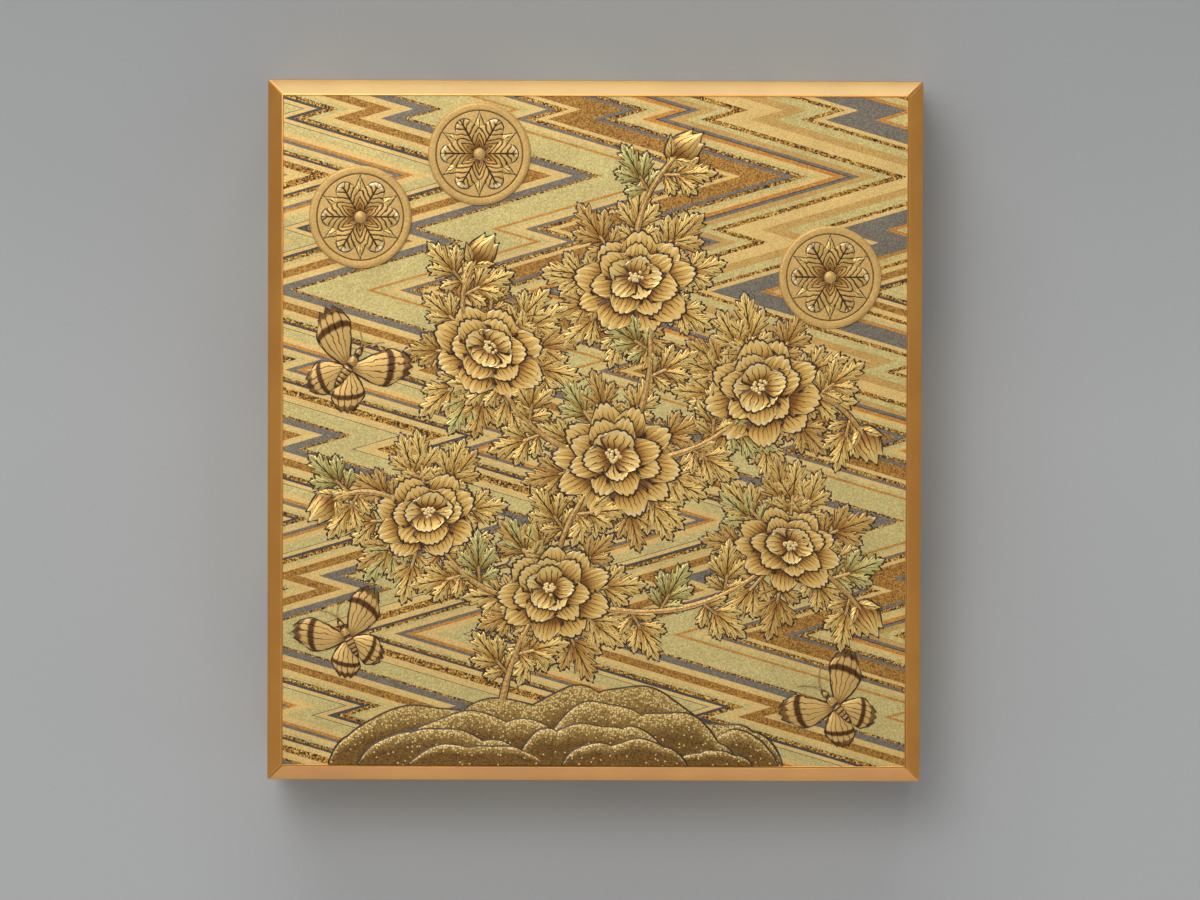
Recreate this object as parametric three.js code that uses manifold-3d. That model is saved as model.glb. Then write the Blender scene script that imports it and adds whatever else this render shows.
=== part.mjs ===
// A Japanese lacquered writing box: a flush lid over a low case, an ink board that carries the inkstone
// and the water dropper, and two trays with brushes, a paper knife, an awl and an ink stick.
// Millimetres, +Z up. The origin is the middle of the underside, on the surface that the box stands on.
import * as THREE from "three";
import { mergeVertices } from "three/addons/utils/BufferGeometryUtils.js";
import Module from "manifold-3d";

const wasm = await Module();
wasm.setup();

// Case
const boxWidth = 225;
const boxDepth = 241;
const boxHeight = 48;
const wallThickness = 6;
const seamHeight = 27;
const rimBandHeight = 1.2;
const seamGap = 0.2;
const footHeight = 1;
const floorThickness = 4;

// Lid board: a plain bevel runs round it, and the decorated field lies a little below its lip
const lidBoardThickness = 5;
const bevelWidth = 4.9;
const bevelDrop = 4.2;
const lipWidth = 0.6;
const fieldRecess = 0.4;

// Riser: the inner frame that stands above the seam and guides the lid
const riserThickness = 2;
const riserStand = 6;
const riserClearance = 0.3;

// Ink board, inkstone and water dropper: the stone leaves room for fingers all round
const fitClearance = 0.3;
const inkBoardThickness = 5;
const pocketDepth = 2.5;
const stoneSideRoom = 13.5;
const stoneEndRoom = 20.5;
const stoneHeight = 13;
const stoneRim = 5;
const stoneBank = 26;
const wellDepth = 6;
const rubbingDepth = 1.6;
const dropperSize = 46;
const dropperHeight = 13;
const dropperShell = 1.2;
const dropperHole = 1.6;
const stoneToDropper = 12;

// Trays
const trayHeight = 15;
const trayWall = 2.4;
const trayFloor = 2.4;

// Brushes with their caps: the tray leaves room to draw a cap off
const brushRadius = 3.4;
const tuftLength = 30;
const tuftInset = 0.3;
const capClearance = 0.5;
const capWall = 0.8;
const capEnd = 2;
const capOverlap = 6;
const capAir = 8;
const capTravel = 43;
const brushSpace = 3.6;
const restWidth = 9;
const restFromEnd = 26;
const restLip = 2;

// Knife, awl and ink stick
const knifeHandleLength = 104;
const knifeWidth = 12;
const knifeThickness = 6;
const knifeCollar = 7;
const bladeLength = 50;
const bladeThickness = 1.4;
const bladeInset = 1.4;
const awlHandleLength = 96;
const awlRadius = 4.4;
const awlCollar = 6;
const spikeLength = 44;
const spikeRadius = 1.3;
const inkStickLength = 82;
const inkStickWidth = 16;
const inkStickHeight = 8;
const toolSpace = 5;
const toolMargin = 2;
const toolFromEnd = 8;
const toolGap = 0.3;

// Raised ornament. Roundels keep their distance from the field's edges: a pair at the left of the back
// edge, and one at the right. Flowers and butterflies are placed in shares of the field's half width and
// half depth, and each has its size as a share of the common one.
const roundelRadius = 17.6;
const roundelHeight = 1.5;
const roundelRim = 2.4;
const roundelFromSide = 26.4;
const roundelFromBack = 19.8;
const pairAcross = 40.8;
const pairDown = 21.8;
const loneFromBack = 61.7;
const roundels = [
  { side: -1, fromSide: roundelFromSide + pairAcross, fromBack: roundelFromBack },
  { side: -1, fromSide: roundelFromSide, fromBack: roundelFromBack + pairDown },
  { side: 1, fromSide: roundelFromSide, fromBack: loneFromBack },
];
const foliageHeight = 0.7;
const blossomHeight = 1.3;
const blossomRadius = 20;
const blossoms = [
  { at: [0.13, 0.44], size: 1.075, squash: 0.84, turn: 8, petals: 13 },
  { at: [-0.34, 0.235], size: 1, squash: 0.78, turn: -24, petals: 12 },
  { at: [0.54, 0.12], size: 1.05, squash: 0.86, turn: 30, petals: 14 },
  { at: [0.075, -0.085], size: 1.125, squash: 0.9, turn: -6, petals: 15 },
  { at: [-0.54, -0.26], size: 0.925, squash: 0.8, turn: 20, petals: 12 },
  { at: [0.62, -0.35], size: 0.95, squash: 0.76, turn: -18, petals: 13 },
  { at: [-0.13, -0.485], size: 0.975, squash: 0.88, turn: 14, petals: 14 },
];
// Each stem bends once. A leaf has its share of the stem's length, its angle to the stem in degrees and
// the share of the blossoms' radius at which it comes out, from the stem or from below a blossom.
const stems = [
  {
    from: [-0.3, -0.84],
    bend: [-0.26, -0.6],
    to: [-0.13, -0.485],
    leaves: [[0.25, 56, 0], [0.4, -56, 0], [1, 138, 0.6], [1, 80, 0.6], [1, -80, 0.55]],
  },
  {
    from: [-0.13, -0.485],
    bend: [-0.13, -0.25],
    to: [0.075, -0.085],
    leaves: [[0.42, 56, 0], [0.55, -56, 0], [1, 84, 0.7], [1, -62, 0.7], [1, -96, 0.7]],
  },
  {
    from: [0.075, -0.085],
    bend: [0.25, 0.2],
    to: [0.13, 0.44],
    leaves: [[0.45, -56, 0], [0.6, 56, 0], [1, 60, 0.65], [1, -64, 0.65], [1, 104, 0.65]],
  },
  {
    from: [-0.13, -0.485],
    bend: [-0.4, -0.55],
    to: [-0.54, -0.26],
    leaves: [[0.5, -56, 0], [0.62, 56, 0], [1, -8, 0.55], [1, -52, 0.55], [1, 110, 0.55]],
  },
  {
    from: [0.075, -0.085],
    bend: [-0.25, -0.06],
    to: [-0.34, 0.235],
    leaves: [[0.45, 56, 0], [0.55, -56, 0], [0.8, 56, 0], [1, 140, 0.6], [1, -74, 0.6]],
  },
  {
    from: [0.075, -0.085],
    bend: [0.36, -0.1],
    to: [0.54, 0.12],
    leaves: [[0.45, -56, 0], [0.6, 56, 0], [0.7, -56, 0], [1, 66, 0.65], [1, 106, 0.6]],
  },
  {
    from: [-0.13, -0.485],
    bend: [0.3, -0.64],
    to: [0.62, -0.35],
    leaves: [[0.3, -56, 0], [0.42, 56, 0], [0.6, -56, 0], [0.7, 56, 0], [1, 40, 0.6], [1, 96, 0.55]],
  },
  {
    from: [0.13, 0.44],
    bend: [0.1, 0.7],
    to: [0.29, 0.85],
    leaves: [[0.6, 56, 0], [0.75, -56, 0]],
    bud: 1.08,
  },
  {
    from: [0.54, 0.12],
    bend: [0.78, 0.16],
    to: [0.88, -0.04],
    leaves: [[0.42, 56, 0], [0.75, -56, 0]],
    bud: 1,
  },
  {
    from: [-0.34, 0.235],
    bend: [-0.5, 0.36],
    to: [-0.36, 0.54],
    leaves: [[0.6, -56, 0], [0.7, 56, 0]],
    bud: 1,
  },
  {
    from: [-0.54, -0.26],
    bend: [-0.74, -0.12],
    to: [-0.87, -0.23],
    leaves: [[0.6, 56, 0], [0.7, -56, 0]],
    bud: 1,
  },
  {
    from: [0.62, -0.35],
    bend: [0.8, -0.44],
    to: [0.88, -0.56],
    leaves: [[0.45, 56, 0], [0.7, -56, 0]],
    bud: 1,
  },
];
const stemWidth = 2;
const leafLength = 20;
const leafWidth = 15;
const budRadius = 6;
const butterflyHeight = 1.4;
const butterflySpan = 34;
const butterflies = [
  { at: [-0.79, 0.19], size: 1.1, turn: -34 },
  { at: [-0.79, -0.62], size: 0.97, turn: 28 },
  { at: [0.78, -0.82], size: 1, turn: 42 },
];
const bankClearance = 0.3;
const moundHeight = 1.9;
const moundRise = 22;
const moundHalfWidth = 46;
const mounds = [
  { at: -0.42, rise: 1, width: 1, height: 1 },
  { at: 0.06, rise: 1.23, width: 0.92, height: 0.8 },
  { at: 0.36, rise: 0.7, width: 0.57, height: 0.58 },
];

// Heights and rooms that follow from the sizes above
const floorTop = footHeight + floorThickness;
const inkBoardTop = floorTop + inkBoardThickness;
const pocketFloor = inkBoardTop - pocketDepth;
const lidBase = seamHeight + seamGap;
const lidWallTop = boxHeight - lidBoardThickness;
const fieldTop = boxHeight - fieldRecess;
const caseWidth = boxWidth - 2 * wallThickness;
const caseDepth = boxDepth - 2 * wallThickness;
const roomWidth = caseWidth - 2 * riserThickness;
const roomDepth = caseDepth - 2 * riserThickness;
const trayInnerWidth = knifeWidth + 2 * awlRadius + inkStickWidth + 2 * (toolSpace + toolMargin);
const trayWidth = trayInnerWidth + 2 * trayWall;
const trayDepth = roomDepth - 2 * fitClearance;
const trayInnerDepth = trayDepth - 2 * trayWall;
const trayCentre = (roomWidth - trayWidth) / 2 - fitClearance;
const trayFloorTop = inkBoardTop + trayFloor;
const bayWidth = roomWidth - 2 * (trayWidth + fitClearance);
const stoneWidth = bayWidth - 2 * stoneSideRoom;
const stoneLength = roomDepth - dropperSize - stoneToDropper - 2 * stoneEndRoom;
const stoneCentreY = stoneEndRoom + (stoneLength - roomDepth) / 2;
const dropperCentreY = (roomDepth - dropperSize) / 2 - stoneEndRoom;
const capBore = brushRadius + capClearance;
const capRadius = capBore + capWall;
const capLength = capOverlap + tuftLength + capAir + capEnd;
const fieldHalfWidth = boxWidth / 2 - bevelWidth - lipWidth;
const fieldHalfDepth = boxDepth / 2 - bevelWidth - lipWidth;

const finish = {
  goldLacquer: { color: 0xc79a55, roughness: 0.38, metalness: 0.6 },
  brightGold: { color: 0xd9b36c, roughness: 0.32, metalness: 0.7 },
  sprinkledGold: { color: 0x7c4f22, roughness: 0.35, metalness: 0.3 },
  blackLacquer: { color: 0x14100e, roughness: 0.15, metalness: 0 },
  silver: { color: 0xb9b5ac, roughness: 0.3, metalness: 0.95 },
  slate: { color: 0x2b2c30, roughness: 0.6, metalness: 0 },
  bamboo: { color: 0x8a5a2c, roughness: 0.45, metalness: 0 },
  hair: { color: 0xd9cdb4, roughness: 0.85, metalness: 0 },
  steel: { color: 0x9a9c9f, roughness: 0.28, metalness: 1 },
  ink: { color: 0x18181a, roughness: 0.5, metalness: 0 },
};

function mesh(name, geometry, look, x = 0, y = 0, z = 0) {
  const made = new THREE.Mesh(geometry, new THREE.MeshStandardMaterial(finish[look]));
  made.name = name;
  made.position.set(x, y, z);
  return made;
}

// Booleans: a closed geometry becomes a solid, and a solid becomes a geometry again

function solidOf(geometry) {
  const bare = geometry.clone();
  bare.deleteAttribute("normal");
  bare.deleteAttribute("uv");
  const merged = mergeVertices(bare, 1e-4);
  return new wasm.Manifold(
    new wasm.Mesh({
      numProp: 3,
      vertProperties: merged.attributes.position.array,
      triVerts: new Uint32Array(merged.index.array),
    }),
  );
}

function geometryOf(solid) {
  const cut = solid.getMesh();
  const geometry = new THREE.BufferGeometry();
  geometry.setAttribute("position", new THREE.BufferAttribute(cut.vertProperties.slice(), cut.numProp));
  geometry.setIndex(new THREE.BufferAttribute(cut.triVerts.slice(), 1));
  return geometry;
}

function join(...geometries) {
  return geometryOf(geometries.map(solidOf).reduce((whole, piece) => whole.add(piece)));
}

function cut(geometry, ...tools) {
  return geometryOf(tools.map(solidOf).reduce((whole, tool) => whole.subtract(tool), solidOf(geometry)));
}

// Shapes with their underside at z = 0

function slab(width, depth, height, x = 0, y = 0, z = 0) {
  return new THREE.BoxGeometry(width, depth, height).translate(x, y, z + height / 2);
}

function plate(points, height, curveSegments = 6) {
  const outline = points instanceof THREE.Shape ? points : new THREE.Shape(points);
  return new THREE.ExtrudeGeometry(outline, { depth: height, bevelEnabled: false, curveSegments });
}

function point(x, y) {
  return new THREE.Vector2(x, y);
}

// Four walls with mitred corners, as flat boards standing on z = 0
function mitredWalls(width, depth, thickness, height) {
  const [w, d] = [width / 2, depth / 2];
  const [iw, id] = [w - thickness, d - thickness];
  return {
    front: plate([point(-w, -d), point(w, -d), point(iw, -id), point(-iw, -id)], height),
    right: plate([point(w, -d), point(w, d), point(iw, id), point(iw, -id)], height),
    back: plate([point(w, d), point(-w, d), point(-iw, id), point(iw, id)], height),
    left: plate([point(-w, d), point(-w, -d), point(-iw, -id), point(-iw, id)], height),
  };
}

function wallSet(prefix, walls, look, x, z) {
  return Object.entries(walls).map(([side, wall]) => mesh(`${prefix}_${side}`, wall, look, x, 0, z));
}

function frameRing(width, depth, thickness, height) {
  const outline = new THREE.Shape([
    point(-width / 2, -depth / 2),
    point(width / 2, -depth / 2),
    point(width / 2, depth / 2),
    point(-width / 2, depth / 2),
  ]);
  const [w, d] = [width / 2 - thickness, depth / 2 - thickness];
  outline.holes.push(new THREE.Path([point(-w, -d), point(-w, d), point(w, d), point(w, -d)]));
  return plate(outline, height);
}

// Turned about the Y axis: each profile pair is a radius and a place along the axis
function turned(profile, segments) {
  return new THREE.LatheGeometry(profile.map(([radius, along]) => point(radius, along)), segments);
}

// Lid

// The board's bevel is what two crossed prisms have in common
function lidBoard() {
  const edge = lidBoardThickness - bevelDrop;
  const bevelled = (half) => [
    point(-half, 0),
    point(half, 0),
    point(half, edge),
    point(half - bevelWidth, lidBoardThickness),
    point(-half + bevelWidth, lidBoardThickness),
    point(-half, edge),
  ];
  const alongY = plate(bevelled(boxWidth / 2), boxDepth)
    .translate(0, 0, -boxDepth / 2)
    .rotateX(Math.PI / 2);
  const alongX = plate(bevelled(boxDepth / 2), boxWidth)
    .translate(0, 0, -boxWidth / 2)
    .rotateX(Math.PI / 2)
    .rotateZ(Math.PI / 2);
  const fieldBottom = lidBoardThickness - fieldRecess;
  const field = slab(2 * fieldHalfWidth, 2 * fieldHalfDepth, fieldRecess * 2, 0, 0, fieldBottom);
  return geometryOf(solidOf(alongY).intersect(solidOf(alongX)).subtract(solidOf(field)));
}

function lidCase() {
  const wallBase = lidBase + rimBandHeight;
  const walls = mitredWalls(boxWidth, boxDepth, wallThickness, lidWallTop - wallBase);
  const band = frameRing(boxWidth, boxDepth, wallThickness, rimBandHeight);
  return [
    mesh("lid_top_board", lidBoard(), "goldLacquer", 0, 0, lidWallTop),
    ...wallSet("lid_wall", walls, "goldLacquer", 0, wallBase),
    mesh("lid_rim_band", band, "silver", 0, 0, lidBase),
  ];
}

// Raised ornament

function roundelGeometry() {
  const dish = roundelHeight * 0.6;
  const slope = roundelRim / 4;
  const profile = [
    [0, 0],
    [roundelRadius, 0],
    [roundelRadius, dish],
    [roundelRadius - slope, roundelHeight],
    [roundelRadius - roundelRim + slope, roundelHeight],
    [roundelRadius - roundelRim, dish],
    [0, dish],
  ];
  return turned(profile, 40).rotateX(Math.PI / 2);
}

function roundelMeshes() {
  return roundels.map(({ side, fromSide, fromBack }, i) => {
    const x = side * (fieldHalfWidth - fromSide);
    const y = fieldHalfDepth - fromBack;
    return mesh(`roundel_${i + 1}`, roundelGeometry(), "brightGold", x, y, fieldTop);
  });
}

function onField([x, y]) {
  return point(x * fieldHalfWidth, y * fieldHalfDepth);
}

function scallop(radius, petals, depth) {
  const steps = petals * 3;
  return Array.from({ length: steps }, (_, i) => {
    const angle = (i / steps) * 2 * Math.PI;
    const reach = radius - depth * (1 - Math.abs(Math.sin((angle * petals) / 2)));
    return point(reach * Math.cos(angle), reach * Math.sin(angle));
  });
}

// One tier of petals, seen a little from one side
function petalTier({ size, squash, turn, petals }, share, height) {
  const radius = blossomRadius * size * share;
  return plate(scallop(radius, petals, radius * 0.12), height)
    .scale(1, squash, 1)
    .rotateZ(THREE.MathUtils.degToRad(turn));
}

function blossomGeometry(blossom) {
  return join(
    petalTier(blossom, 0.94, blossomHeight * 0.35),
    petalTier(blossom, 0.68, blossomHeight * 0.7),
    petalTier(blossom, 0.38, blossomHeight),
  );
}

function blossomMeshes() {
  return blossoms.map((blossom, i) => {
    const { x, y } = onField(blossom.at);
    const z = fieldTop + foliageHeight;
    return mesh(`blossom_${i + 1}`, blossomGeometry(blossom), "brightGold", x, y, z);
  });
}

// Stems are ribbons that narrow towards their flower
function stemGeometry(curve) {
  const steps = 8;
  const side = (i, sign) => {
    const tangent = curve.getTangent(i / steps);
    const half = sign * (stemWidth / 2) * (1 - (0.4 * i) / steps);
    return curve.getPoint(i / steps).add(point(-tangent.y, tangent.x).multiplyScalar(half));
  };
  const out = Array.from({ length: steps + 1 }, (_, i) => side(i, -1));
  const back = Array.from({ length: steps + 1 }, (_, i) => side(steps - i, 1));
  return plate([...out, ...back], foliageHeight);
}

// A leaf with two side lobes on each edge and one at its tip
function leafGeometry(curve, [share, turn, start]) {
  const lower = [
    point(0, -0.03),
    point(0.14, -0.42),
    point(0.36, -0.24),
    point(0.56, -0.5),
    point(0.68, -0.26),
  ];
  const upper = lower.map(({ x, y }) => point(x, -y)).reverse();
  const base = curve.getPoint(share);
  const tangent = curve.getTangent(share);
  return plate([...lower, point(1, 0), ...upper], foliageHeight)
    .scale(leafLength, leafWidth, 1)
    .translate(start * blossomRadius, 0, 0)
    .rotateZ(Math.atan2(tangent.y, tangent.x) + THREE.MathUtils.degToRad(turn))
    .translate(base.x, base.y, 0);
}

function budGeometry(centre, size) {
  const radius = budRadius * size;
  const height = foliageHeight + blossomHeight / 2;
  return new THREE.CylinderGeometry(radius * 0.8, radius, height, 16)
    .rotateX(Math.PI / 2)
    .translate(centre.x, centre.y, height / 2);
}

// Stems, leaves, buds and the lowest petals are one low sheet, and the blossoms stand on it
function foliageMesh() {
  const sheet = stems.flatMap(({ from, bend, to, leaves, bud }) => {
    const curve = new THREE.QuadraticBezierCurve(onField(from), onField(bend), onField(to));
    const buds = bud ? [budGeometry(curve.getPoint(1), bud)] : [];
    return [stemGeometry(curve), ...leaves.map((leaf) => leafGeometry(curve, leaf)), ...buds];
  });
  const petals = blossoms.map((blossom) => {
    const { x, y } = onField(blossom.at);
    return petalTier(blossom, 1, foliageHeight).translate(x, y, 0);
  });
  const bank = bankGeometry().translate(0, bankClearance, 0);
  return mesh("flower_stems", cut(join(...sheet, ...petals), bank), "brightGold", 0, 0, fieldTop);
}

function wing(span, angle, length, breadth) {
  const tip = span * length;
  const half = span * breadth;
  const outline = new THREE.Shape();
  outline.moveTo(0, 0);
  outline.bezierCurveTo(tip * 0.3, -half * 0.5, tip * 0.85, -half, tip, -half * 0.2);
  outline.bezierCurveTo(tip * 1.06, half * 0.7, tip * 0.5, half * 1.2, 0, 0);
  return plate(outline, butterflyHeight * 0.6, 5).rotateZ(THREE.MathUtils.degToRad(angle));
}

function butterflyGeometry({ size, turn }) {
  const span = butterflySpan * size;
  const body = new THREE.Shape().absellipse(0, 0, span * 0.045, span * 0.24, 0, 2 * Math.PI);
  const wings = [
    wing(span, 38, 0.56, 0.22),
    wing(span, 142, 0.56, 0.22),
    wing(span, -42, 0.4, 0.2),
    wing(span, -138, 0.4, 0.2),
  ];
  return join(plate(body, butterflyHeight, 8), ...wings).rotateZ(THREE.MathUtils.degToRad(turn));
}

function butterflyMeshes() {
  return butterflies.map((butterfly, i) => {
    const { x, y } = onField(butterfly.at);
    return mesh(`butterfly_${i + 1}`, butterflyGeometry(butterfly), "brightGold", x, y, fieldTop);
  });
}

// Low rounded mounds that rise from the field's front edge
function bankGeometry() {
  const edge = -fieldHalfDepth;
  const pieces = mounds.map(({ at, rise, width, height }) => {
    const x = at * fieldHalfWidth;
    const half = moundHalfWidth * width;
    const top = moundRise * rise;
    const outline = new THREE.Shape();
    outline.moveTo(-half, 0);
    outline.bezierCurveTo(-half * 0.9, top, -half * 0.3, top * 1.2, 0, top);
    outline.bezierCurveTo(half * 0.3, top * 0.8, half * 0.7, top, half, 0);
    return plate(outline, moundHeight * height, 8).translate(x, edge, 0);
  });
  return join(...pieces);
}

function bankMesh() {
  return mesh("garden_bank", bankGeometry(), "goldLacquer", 0, 0, fieldTop);
}

// Base

function baseCase() {
  const wallHeight = seamHeight - rimBandHeight;
  const walls = mitredWalls(boxWidth, boxDepth, wallThickness, wallHeight);
  const band = frameRing(boxWidth, boxDepth, wallThickness, rimBandHeight);
  const risers = mitredWalls(
    caseWidth - 2 * riserClearance,
    caseDepth - 2 * riserClearance,
    riserThickness - riserClearance,
    seamHeight + riserStand - floorTop,
  );
  const board = slab(caseWidth, caseDepth, floorThickness);
  return [
    mesh("base_floor_board", board, "blackLacquer", 0, 0, footHeight),
    ...wallSet("base_wall", walls, "goldLacquer", 0, 0),
    mesh("base_rim_band", band, "silver", 0, 0, wallHeight),
    ...wallSet("riser", risers, "sprinkledGold", 0, floorTop),
  ];
}

// Ink board and what stands in its pockets

function inkBoard() {
  const board = slab(roomWidth - 2 * fitClearance, roomDepth - 2 * fitClearance, inkBoardThickness);
  const bottom = inkBoardThickness - pocketDepth;
  const pocket = (width, depth, y) =>
    slab(width + 2 * fitClearance, depth + 2 * fitClearance, pocketDepth * 2, 0, y, bottom);
  const forStone = pocket(stoneWidth, stoneLength, stoneCentreY);
  const forDropper = pocket(dropperSize, dropperSize, dropperCentreY);
  return mesh("ink_board", cut(board, forStone, forDropper), "sprinkledGold", 0, 0, floorTop);
}

// The stone has a shallow rubbing face that falls into a deeper well at the back
function inkstone() {
  const innerWidth = stoneWidth - 2 * stoneRim;
  const innerLength = stoneLength - 2 * stoneRim;
  const front = -innerLength / 2;
  const back = innerLength / 2;
  const profile = [
    point(front, stoneHeight * 2),
    point(front, stoneHeight - rubbingDepth),
    point(back - stoneBank, stoneHeight - rubbingDepth),
    point(back - stoneBank / 2, stoneHeight - wellDepth),
    point(back, stoneHeight - wellDepth),
    point(back, stoneHeight * 2),
  ];
  const hollow = plate(profile, innerWidth)
    .translate(0, 0, -innerWidth / 2)
    .rotateX(Math.PI / 2)
    .rotateZ(Math.PI / 2);
  const stone = cut(slab(stoneWidth, stoneLength, stoneHeight), hollow);
  return mesh("inkstone", stone, "slate", 0, stoneCentreY, pocketFloor);
}

// A hollow metal vessel: the top plate has one hole for air, and the other pours
function waterDropper() {
  const inner = dropperSize - 2 * dropperShell;
  const shell = cut(
    slab(dropperSize, dropperSize, dropperHeight - dropperShell),
    slab(inner, inner, dropperHeight, 0, 0, dropperShell),
  );
  const hole = (x, y) =>
    new THREE.CylinderGeometry(dropperHole, dropperHole, dropperShell * 4, 16)
      .rotateX(Math.PI / 2)
      .translate(x, y, 0);
  const reach = dropperSize / 4;
  const lid = cut(slab(dropperSize, dropperSize, dropperShell), hole(0, 0), hole(-reach, reach));
  const lidHeight = pocketFloor + dropperHeight - dropperShell;
  return [
    mesh("water_dropper_body", shell, "silver", 0, dropperCentreY, pocketFloor),
    mesh("water_dropper_top", lid, "silver", 0, dropperCentreY, lidHeight),
  ];
}

// Trays

function tray(side, centre) {
  const board = slab(trayWidth, trayDepth, trayFloor);
  const walls = mitredWalls(trayWidth, trayDepth, trayWall, trayHeight - trayFloor);
  return [
    mesh(`${side}_tray_floor`, board, "sprinkledGold", centre, 0, inkBoardTop),
    ...wallSet(`${side}_tray_wall`, walls, "sprinkledGold", centre, trayFloorTop),
  ];
}

// Brushes lie along Y with the tuft and its cap to the back
const brushLine = trayFloorTop + capRadius + toolGap;
const brushButt = -trayInnerDepth / 2 + 2 * toolGap;
const brushLength = trayInnerDepth - 2 * toolGap - (capLength - capOverlap) - capTravel;
const brushPitch = 2 * capRadius + brushSpace;
const firstBrush = -trayCentre - trayInnerWidth / 2 + capRadius + toolMargin;
const brushXs = [firstBrush, firstBrush + brushPitch];

function brush(i, x) {
  const butt = brushRadius * 0.86;
  const shoulder = brushLength * 0.3;
  const hair = brushRadius - tuftInset;
  const boreEnd = capLength - capEnd;
  const neck = tuftLength * 0.8;
  const handle = [[0, 0], [butt, 0], [brushRadius, shoulder], [brushRadius, brushLength], [0, brushLength]];
  const tuft = [[0, 0], [hair, 0], [hair, tuftLength / 2], [hair * 0.6, neck], [0, tuftLength]];
  const outside = [[0, 0], [capRadius, 0], [capRadius, capLength], [0, capLength]];
  const bore = [[0, -capEnd], [capBore, -capEnd], [capBore, boreEnd], [0, boreEnd]];
  const cap = cut(turned(outside, 24), turned(bore, 24));
  const front = brushButt + brushLength;
  return [
    mesh(`brush_${i + 1}_handle`, turned(handle, 20), "bamboo", x, brushButt, brushLine),
    mesh(`brush_${i + 1}_tuft`, turned(tuft, 16), "hair", x, front, brushLine),
    mesh(`brush_${i + 1}_cap`, cap, "bamboo", x, front - capOverlap, brushLine),
  ];
}

// A notched bar that holds both brush handles level
function brushRest() {
  const middle = (brushXs[0] + brushXs[1]) / 2;
  const width = brushPitch + 2 * (brushRadius + restLip);
  const bar = slab(width, restWidth, brushLine - trayFloorTop);
  const notch = (x) =>
    new THREE.CylinderGeometry(brushRadius + toolGap, brushRadius + toolGap, restWidth * 2, 24)
      .translate(x - middle, 0, brushLine - trayFloorTop);
  const y = brushButt + restFromEnd;
  return mesh("brush_rest", cut(bar, ...brushXs.map(notch)), "blackLacquer", middle, y, trayFloorTop);
}

// The knife and the awl lie along Y in the right tray, with the ink stick beside them
const toolButt = -trayInnerDepth / 2 + toolFromEnd;
const toolEdge = trayCentre - trayInnerWidth / 2 + toolMargin;
const knifeX = toolEdge + knifeWidth / 2;
const awlX = toolEdge + knifeWidth + toolSpace + awlRadius;
const inkStickX = awlX + awlRadius + toolSpace + inkStickWidth / 2;

function knife() {
  const half = knifeWidth / 2 - bladeInset;
  const outline = [
    point(-half, 0),
    point(half, 0),
    point(half, bladeLength * 0.7),
    point(-half, bladeLength),
  ];
  const handle = slab(knifeWidth, knifeHandleLength, knifeThickness, 0, knifeHandleLength / 2);
  const collar = slab(knifeWidth, knifeCollar, knifeThickness, 0, knifeCollar / 2);
  const collarY = toolButt + knifeHandleLength;
  const bladeZ = trayFloorTop + (knifeThickness - bladeThickness) / 2;
  return [
    mesh("knife_handle", handle, "blackLacquer", knifeX, toolButt, trayFloorTop),
    mesh("knife_collar", collar, "silver", knifeX, collarY, trayFloorTop),
    mesh("knife_blade", plate(outline, bladeThickness), "steel", knifeX, collarY + knifeCollar, bladeZ),
  ];
}

function awl() {
  const z = trayFloorTop + awlRadius + toolGap;
  const collarY = toolButt + awlHandleLength;
  const neck = awlRadius * 0.7;
  const belly = awlHandleLength * 0.4;
  const handle = [[0, 0], [awlRadius, 0], [awlRadius, belly], [neck, awlHandleLength], [0, awlHandleLength]];
  const collar = [[0, 0], [neck, 0], [neck * 0.8, awlCollar], [0, awlCollar]];
  const spike = [[0, 0], [spikeRadius, 0], [0, spikeLength]];
  return [
    mesh("awl_handle", turned(handle, 20), "blackLacquer", awlX, toolButt, z),
    mesh("awl_collar", turned(collar, 20), "silver", awlX, collarY, z),
    mesh("awl_spike", turned(spike, 12), "steel", awlX, collarY + awlCollar, z),
  ];
}

function inkStick() {
  const y = trayInnerDepth / 2 - inkStickLength / 2 - toolFromEnd;
  const stick = slab(inkStickWidth, inkStickLength, inkStickHeight);
  return mesh("ink_stick", stick, "ink", inkStickX, y, trayFloorTop);
}

const writingBox = new THREE.Group();
writingBox.add(
  ...baseCase(),
  inkBoard(),
  inkstone(),
  ...waterDropper(),
  ...tray("left", -trayCentre),
  ...tray("right", trayCentre),
  ...brushXs.flatMap((x, i) => brush(i, x)),
  brushRest(),
  ...knife(),
  ...awl(),
  inkStick(),
  ...lidCase(),
  ...roundelMeshes(),
  foliageMesh(),
  ...blossomMeshes(),
  ...butterflyMeshes(),
  bankMesh(),
);

export default writingBox;
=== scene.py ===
# %% [markdown]
# A lacquered writing box
# The real box is a low wooden case with a flush lid. Every surface is lacquer: gold powder that was
# sprinkled in wet lacquer and polished, raised gold ornament on the lid, and brown lacquer with gold
# flakes inside. The wooden case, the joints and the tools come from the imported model, which is loaded
# here as a fixed frame. This script only dresses it.

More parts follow.
